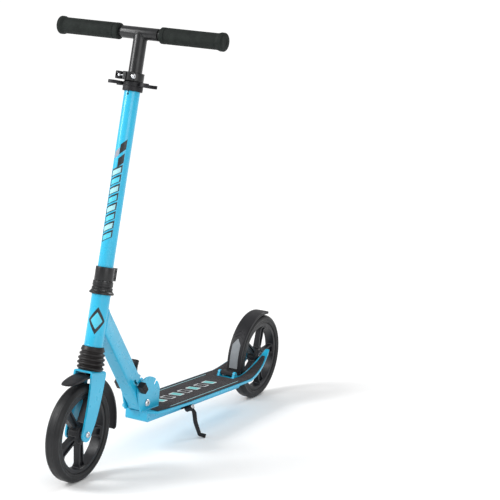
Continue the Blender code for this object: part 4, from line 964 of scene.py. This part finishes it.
def fold_pivot():
    head = [(0, -26.6), (4.4, -26.6), (5, -26), (5, 20.9), (8, 20.9), (8, 22.6), (7.6, 23.4), (6.6, 24.4),
            (0, 24.4)]
    socket = hexagon(3.4, 21.6, 30)
    piece("pivot_button_bolt", sideways(carved(lathe(head, 80), cut=[socket])), DECK, "deck", BOLT,
          ["fold_pivot_bolt"], edge=0.3, steps=2)
    piece("pivot_lock_nut", sideways(nut(8.5, 5.5, -26.2, -20.9)), DECK, "deck", BOLT, ["fold_pivot_nut"])
    piece("pivot_bush", sideways(tube(8, 5.1, -16.8, 16.8, 0.3, 64)), DECK, "frame", BRONZE,
          ["fold_bushing"])


def fan_outline():
    """Side view of a fold plate: a lip in front, and a notch for each end of the fold."""
    lock_front = atan2(*reversed(notch_direction()))
    lock_back = lock_front - FOLD_ANGLE
    half_notch = asin(NOTCH_HALF / PLATE_RADIUS)
    corner = acos(51 / PLATE_RADIUS)
    lip = lock_front + half_notch + 0.03
    points = [(-22, -16.7, 0.6), (-40, 30, 6), (58 * cos(lip), 58 * sin(lip), 1.6)]

    def notch(angle):
        along = Vector((cos(angle), sin(angle)))
        across = Vector((-along.y, along.x))
        mouth = sqrt(PLATE_RADIUS ** 2 - NOTCH_HALF ** 2)
        walls = [(*(along * mouth + across * NOTCH_HALF), 0.8)]
        for i in range(13):
            turn = pi * i / 12
            curve = across * NOTCH_HALF * cos(turn) - along * NOTCH_HALF * sin(turn)
            walls.append((*(along * 47.6 + curve), 0))
        return walls + [(*(along * mouth - across * NOTCH_HALF), 0.8)]

    points += notch(lock_front)
    gap = half_notch + 0.02
    points += [(*spot, 0) for spot in arc((0, 0), PLATE_RADIUS, lock_front - gap, lock_back + gap, 40)]
    points += notch(lock_back)
    points += [(*spot, 0) for spot in arc((0, 0), PLATE_RADIUS, lock_back - gap, corner, 12)]
    return eased(points + [(51, -16.7, 0.6)], 0, 4)


def notch_direction():
    """Direction of the down tube in the deck's side view, as (back, up)."""
    along = axis_of("lock")
    return along.dot(DECK.col[1].to_3d()), along.dot(DECK.col[2].to_3d())


def fold_plates():
    for side, sign in SIDES:
        low, high = sorted((sign * 17.2, sign * 20.6))
        hole = sideways(rod(5.15, -30, 30, 0, 48))
        plate = carved(prism(fan_outline(), low, high), cut=[hole])
        piece(f"fan_plate_{side}", plate, DECK, "deck", BLUE, [f"fold_plate_{side}"], edge=0.55, angle=40)
        bead = [Vector((sign * (20.9 + 0.3 * sin(0.9 * k)), -20 + k * 0.8, -16.4)) for k in range(88)]
        radii = [1.25 + 0.2 * sin(1.3 * k) for k in range(88)]
        piece(f"plate_weld_{side}", sweep(bead, radii, 12), DECK, "deck", BLUE, angle=60)


def fold_lock():
    piece("lock_cross_pin", sideways(rod(2.6, -33, 33, 0.5, 48), y=60.4), TUBE, "latch", TURNED,
          ["lock_pin"])
    for side, sign in SIDES:
        low, high = sorted((sign * 21.6, sign * 36))
        knob = box((low, 41, -7.6), (high, 64, 7.6), 2.2, 5)
        cuts = [sideways(rod(2.9, *sorted((sign * 15, sign * 33.3)), 0, 40), y=60.4)]
        for k in range(4):
            groove_low, groove_high = sorted((sign * 35.3, sign * 38))
            cuts.append(box((groove_low, 45.2 + 4.1 * k, -9), (groove_high, 46.6 + 4.1 * k, 9)))
        piece(f"lock_knob_{side}", carved(knob, cut=cuts), TUBE, "latch", BLACK_PLASTIC,
              [f"lock_cap_{side}"], edge=0.3, angle=40)
    pull_lever()


def pull_lever():
    strip = box((-9, 56, -22.7), (9, 92, -20.1), 0.9, 3)
    route = smooth_path([(70, 3.2, 2.6), (76, 6, 3), (82, 11.5, 3.4), (86, 18, 3.6), (86, 24, 3.2)], 7)
    stations = []
    for i, (along, out, thick) in enumerate(route):
        share = i / (len(route) - 1)
        half = 9 - 1.6 * max(0, share - 0.75) / 0.25
        ring = eased([(-half, -1), (half, -1), (half, 1), (-half, 1)], 0.8, 4)
        stations.append([(x, along + (thick if z > 0 else -thick) * (1 if abs(z) > 0.99 else abs(z)),
                          -19.5 - out + (1.5 * (z + 1) / 2)) for x, z in ring])
    tongue = box((-4, 55, -21.5), (4, 71.4, 5.4), 0.3, 2)
    seat = sideways(rod(2.9, -20, 20, 0, 40), y=60.4)
    piece("lock_pull_lever", carved(strip, add=[loft(stations), tongue], cut=[seat]), TUBE,
          "latch", BLACK_PLASTIC, ["lock_lever"], edge=0.5, angle=40)


fold_pivot()
fold_plates()
fold_lock()

# ---- deck


def arm_top(back):
    return -17 if back <= 415 else -17 + 42 * ((back - 415) / 130) ** 1.6


def deck_edge(back):
    if back < 120:
        return 44 + 11 * (max(back - 8, 0) / 112) ** 0.6
    return 55 if back < 400 else 55 - 26 * ((back - 400) / 150) ** 1.9


def deck_plan():
    half = [(26.7, -5, 0.8), (44, 8, 1.4)] + [(deck_edge(back), back, 0)
                                              for back in (12, 16, 22, 30, 40, 50, 64, 80, 100, 120,
                                                           260, 400, 412, 424)]
    return eased(half + [(-point[0], *point[1:]) for point in reversed(half)], 0, 4)


def arm(sign):
    """Rear arm: a wall beside the wheel with the deck's edge carried on along its top."""
    stations = []
    for i in range(45):
        back = 396 + i * 3.5
        top = arm_top(back)
        climb = atan(arm_top(back + 0.5) - arm_top(back - 0.5))
        lip, depth = 5 - 0.0625 * i, 24 - 0.15 * i
        section = eased([(18.3, 0, 1), (deck_edge(back), 0, 1.4), (deck_edge(back), lip, 1.2),
                         (24, lip, 1.6), (24, depth, 1.2), (18.3, depth, 1)], 1, 3)
        stations.append([(sign * out, back + deep * sin(climb), top - deep * cos(climb))
                         for out, deep in section])
    return loft(stations)


def deck():
    plate = prism(deck_plan(), -22, -17, "Z")
    side = eased([(-5, -18, 0), (-5, -37.5, 2), (-2, -41.5, 2), (412, -41.5, 6), (422, -29.5, 3),
                  (422, -18, 0)], 1, 5)
    beam = prism(side, -26.7, 26.7)
    lugs = []
    for sign in (1, -1):
        outline = [(389, -18), (407, -18)] + arc(FENDER_HINGE, 5.5, 0, pi, 20)
        lugs.append(prism(outline, *sorted((sign * 16.4, sign * 22))))
    cuts = [box((-17.2, -2.6, -25), (17.2, 24, 5)), box((-17.2, -30, -20.6), (17.2, 24, 5)),
            sideways(rod(4.15, -50, 50, 0, 48), y=REAR_AXLE[0], z=REAR_AXLE[1]),
            box((-24.2, 30, -39), (24.2, 430, -22)),
            sideways(rod(2.7, -30, 30, 0, 32), y=FENDER_HINGE[0], z=FENDER_HINGE[1])]
    for k in range(3):
        cuts.append(moved(rod(3.2, -45, -36, 0, 32), y=60 + 130 * k))
    piece("folded_deck", carved(plate, add=[beam, arm(1), arm(-1)] + lugs, cut=cuts), DECK, "deck", BLUE,
          ["deck"], edge=0.7, angle=34)


def tape_plan():
    half = [(22.6, 53, 1.2), (22.6, 12, 1.2)]
    half += [(deck_edge(back) - 3, back, 0.8) for back in (12, 22, 36, 56, 84, 120, 384)]
    return eased(half + [(-x, y, ease) for x, y, ease in reversed(half)], 0, 4)


def flat_print(name, outline, ink, top=-15.62):
    piece(name, prism(outline, top - 0.06, top, "Z"), DECK, "deck", ink, angle=40)


def tape():
    piece("deck_grit_sheet", prism(tape_plan(), -16.7, -15.7, "Z"), DECK, "deck", TAPE, ["grip_tape"],
          edge=0.2, steps=2, angle=40)
    for sign, side in ((1, "left"), (-1, "right")):
        flat_print(f"deck_stripe_{side}",
                   eased([(sign * 42, 64), (sign * 43.4, 64), (sign * 43.4, 372), (sign * 42, 372)], 0.5,
                         3), INK_PALE)
    for k in range(7):
        low = 74 + 37 * k
        outline = [(-13, low), (13, low + 9), (13, low + 31), (-13, low + 22)]
        flat_print(f"deck_slant_rim_{k + 1}", eased(outline, 2.5, 5), INK_WHITE)
        inner = [(-10.6, low + 2.9), (10.6, low + 10.2), (10.6, low + 28.1), (-10.6, low + 20.8)]
        flat_print(f"deck_slant_{k + 1}", eased(inner, 1.8, 5), TAPE if k % 2 else INK_TEAL, -15.56)


def arm_tape(side, sign):
    """The tape carried on over a rear arm."""
    stations = []
    for i in range(41):
        back = 385 + i * 3.5
        climb = atan(arm_top(back + 0.5) - arm_top(back - 0.5))
        outer = deck_edge(back) - 3 - 2.6 * max(0, (i - 34) / 6) ** 2
        section = eased([(23.4, -0.3), (outer, -0.3), (outer, -1.3), (23.4, -1.3)], 0.3, 2)
        stations.append([(sign * out, back + deep * sin(climb), arm_top(back) - deep * cos(climb))
                         for out, deep in section])
    piece(f"arm_grit_sheet_{side}", loft(stations), DECK, "deck", TAPE, angle=40)


deck()
tape()
arm_tape("left", 1)
arm_tape("right", -1)

# ---- brake fender


def brake_fender():
    to_hinge = Matrix.Translation((0, REAR_AXLE[0] - FENDER_HINGE[0], REAR_AXLE[1] - FENDER_HINGE[1]))
    skin = fender_skin(110, 2.4, 17.6, 77, 180, 6, (0.6, 1), (14, 1), 24)
    ribs = []
    for start in (143.5, 138):
        path = []
        for k in range(25):
            x = -11 + 22 * k / 24
            angle = radians(start + 0.45 * abs(x))
            path.append(Vector((x, 110.1 * cos(angle), 110.1 * sin(angle))))
        ribs.append(sweep(path, 0.9, 12))
    outline = eased([(-5, -4), (4, -6), (34, -6), (34, 3), (26, 2.6), (8, 4.8), (-3, 5)], 1.6, 4)
    foot = carved(prism(outline, -15.6, 15.6), cut=[sideways(rod(2.8, -30, 30, 0, 32))])
    body = joined([moved(joined([skin] + ribs), turn=to_hinge), foot])
    piece("brake_fender_moulding", body, HINGE, "brake", BLACK_PLASTIC, ["brake_fender"], angle=42)
    piece("brake_hinge_pin", sideways(rod(2.4, -22.5, 22.5, 0.4, 40)), HINGE, "deck", TURNED,
          ["fender_hinge_pin"])
    insert(to_hinge)


def insert(to_hinge):
    """Grey cover on the front face of the fender, with a pointed top."""
    stations = []
    for i in range(-6, 37):
        angle = radians(180 - 30 * max(i, 0) / 36)
        below = 12.5 * max(-i, 0) / 6
        share = max(0, (i - 27) / 9)
        half = 10.5 * (1 - share) + 1.2 * share
        lift = 0.3 + 0.2 * share
        ring = [(-half, 110.3), (-half, 111), (-half + 0.5 * (1 - share) + 0.2, 111.7),
                (0, 111.8 - 0.1 * lift), (half - 0.5 * (1 - share) - 0.2, 111.7), (half, 111),
                (half, 110.3)]
        stations.append([(x, r * cos(angle), r * sin(angle) - below) for x, r in ring])
    piece("fender_grey_cover", moved(loft(stations), turn=to_hinge), HINGE, "brake", GREY,
          ["fender_insert"], edge=0.25, steps=2, angle=40)


brake_fender()

# ---- kickstand


def kickstand():
    tilt = Matrix.Rotation(-STAND_TILT, 4, "Y")
    at_pivot = Matrix.Translation((38, STAND_BACK, -37)) @ tilt
    plate = box((27, 139, -40), (31, 177, -22.8), 1.4, 4)
    boss = moved(sideways(rod(8.5, -9, -0.4, 0.5, 64)), turn=at_pivot)
    bore = moved(sideways(rod(3.3, -30, 10, 0, 40)), turn=at_pivot)
    cuts = [bore, box((0, 0, -60), (27, 300, 0))]
    cuts += [sideways(rod(2.3, 10, 60, 0, 32), y=STAND_BACK + offset, z=-27)
             for name, offset in STAND_SCREWS]
    piece("stand_bracket_plate", carved(plate, add=[boss], cut=cuts), DECK, "deck", BLACK_PLASTIC,
          ["kickstand_bracket"], edge=0.3, steps=2)
    for name, offset in STAND_SCREWS:
        head = [(0, 1), (2, 1), (2, 4.3), (4.2, 4.3), (4.1, 4.9), (3.4, 6), (2.2, 6.5), (0, 6.6)]
        cross = [box((-0.45, -2.6, 5.6), (0.45, 2.6, 8)), box((-2.6, -0.45, 5.6), (2.6, 0.45, 8))]
        screw = carved(lathe(head, 48), cut=cross)
        piece(f"stand_screw_{name}", sideways(screw, 26.7, STAND_BACK + offset, -27), DECK, "deck", BOLT,
              [f"kickstand_screw_{name}"], edge=0.12, steps=2)
    pin = [(0, -8), (3, -8), (3, 7.4), (5.5, 7.4), (5.5, 8.8), (4.6, 9.8), (3, 10), (0, 10)]
    piece("stand_pivot_pin", moved(sideways(lathe(pin, 56)), turn=at_pivot), DECK, "deck", BOLT,
          ["kickstand_pin"])
    stand_leg(at_pivot)


def stand_leg(at_pivot):
    eye = sideways(tube(9, 3.3, 0.2, 7, 1, 72))
    into = Matrix.Rotation(STAND_TILT, 4, "Y")
    knee = into @ Vector((27.5, 6, -57.3))
    toe = into @ Vector((40.5, 9, -58.9))
    spots = [Vector((3.7, 0.8, -5)), Vector((5.4, 1.8, -15)), knee * 0.55 + Vector((1, 0, 0)),
             knee * 0.9, knee, knee.lerp(toe, 0.4), toe]
    radii = [3.1, 4.9, 4.8, 4.4, 4.2, 4.3, 4.4]
    path = smooth_path(spots, 6)
    sizes = []
    for i in range(len(path)):
        at = i / 6
        low = min(int(at), len(radii) - 2)
        sizes.append(radii[low] + (radii[low + 1] - radii[low]) * (at - low))
    hole = sideways(rod(3.3, -12, 14, 0, 40))
    shape = carved(eye, add=[sweep(path, sizes, 20)], cut=[hole])
    piece("forged_stand_leg", moved(shape, turn=at_pivot), DECK, "kickstand", BLACK_PLASTIC,
          ["kickstand_leg"], edge=0.4, steps=3)


kickstand()

# ---- CAD nodes that stay, and the head badge

for node in ("steerer_tube", "headset_lower_bearing", "headset_upper_bearing"):
    frame["nodes"][node].data.materials[0] = TURNED

BADGE_ANGLE = 26
BADGE_HEIGHT = 228


def lozenge(name, half_angle, half_height, ink, lift):
    """A filled lozenge on the head tube, built from two wrapped halves."""
    shapes = []
    for left, right in ((-1, 0), (0, 1)):
        spots = []
        for end in (left, right):
            angle = BADGE_ANGLE + half_angle * end
            height = half_height * (1 - abs(end)) + 0.6
            spots.append(((angle, BADGE_HEIGHT - height), (angle, BADGE_HEIGHT + height)))
        shapes.append(wrapped(spots, 19.2 + lift, 14))
    piece(name, joined(shapes), FORK, "frame", ink, angle=40)


lozenge("head_lozenge_rim", 54, 27, INK_BLACK, 0)
lozenge("head_lozenge", 36, 16.5, INK_SKY, 0.1)

# ---- floor, light and camera


def stage():
    """Pale round floor that glows faintly away from the scooter, so it stays white to the horizon."""
    shape = bmesh.new()
    bmesh.ops.create_circle(shape, cap_ends=True, segments=64, radius=90)
    mesh = bpy.data.meshes.new("studio_floor")
    shape.to_mesh(mesh)
    shape.free()
    floor = shown("studio_floor", mesh)
    made, tree, shader = new_finish("studio_white")
    away = output(tree, "VectorMath", "Value", {0: output(tree, "TexCoord", "Object", {})},
                  operation="LENGTH")
    fill(shader, {"Base Color": (0.95, 0.95, 0.95, 1), "Roughness": 0.9,
                  "Emission Color": (1, 1, 1, 1),
                  "Emission Strength": spread(tree, away, 0, 0.5, 0.9, 3.2)})
    floor.data.materials.append(made)


def lamp(name, energy, size, spot, target):
    light = bpy.data.lights.new(name, "AREA")
    light.energy = energy
    light.shape = "RECTANGLE"
    light.size, light.size_y = size
    obj = shown(name, light)
    obj.location = spot
    obj.rotation_euler = (Vector(target) - Vector(spot)).to_track_quat("-Z", "Y").to_euler()


def lights():
    world = bpy.data.worlds.new("studio")
    bpy.context.scene.world = world
    world.use_nodes = True
    background = world.node_tree.nodes["Background"]
    background.inputs["Color"].default_value = (1, 1, 1, 1)
    background.inputs["Strength"].default_value = 0.6
    bpy.context.scene.view_settings.view_transform = "Standard"
    middle = (0, 0, 0.4)
    lamp("key", 88, (1.2, 1.8), (-2.2, -1.9, 2.3), middle)
    lamp("fill", 34, (2.2, 2.2), (2.6, -2.2, 1.6), middle)
    lamp("rim", 34, (1.6, 1), (0.6, 2.6, 2.4), middle)


def camera():
    lens = bpy.data.cameras.new("camera")
    lens.lens = 122.0
    lens.sensor_width = 36
    obj = shown("camera", lens)
    obj.location = (1.7747, -3.1271, 1.0229)
    ahead = Vector((-0.45919, 0.87270, -0.16597))
    obj.rotation_euler = ahead.to_track_quat("-Z", "Y").to_euler()
    bpy.context.scene.camera = obj


stage()
lights()
camera()
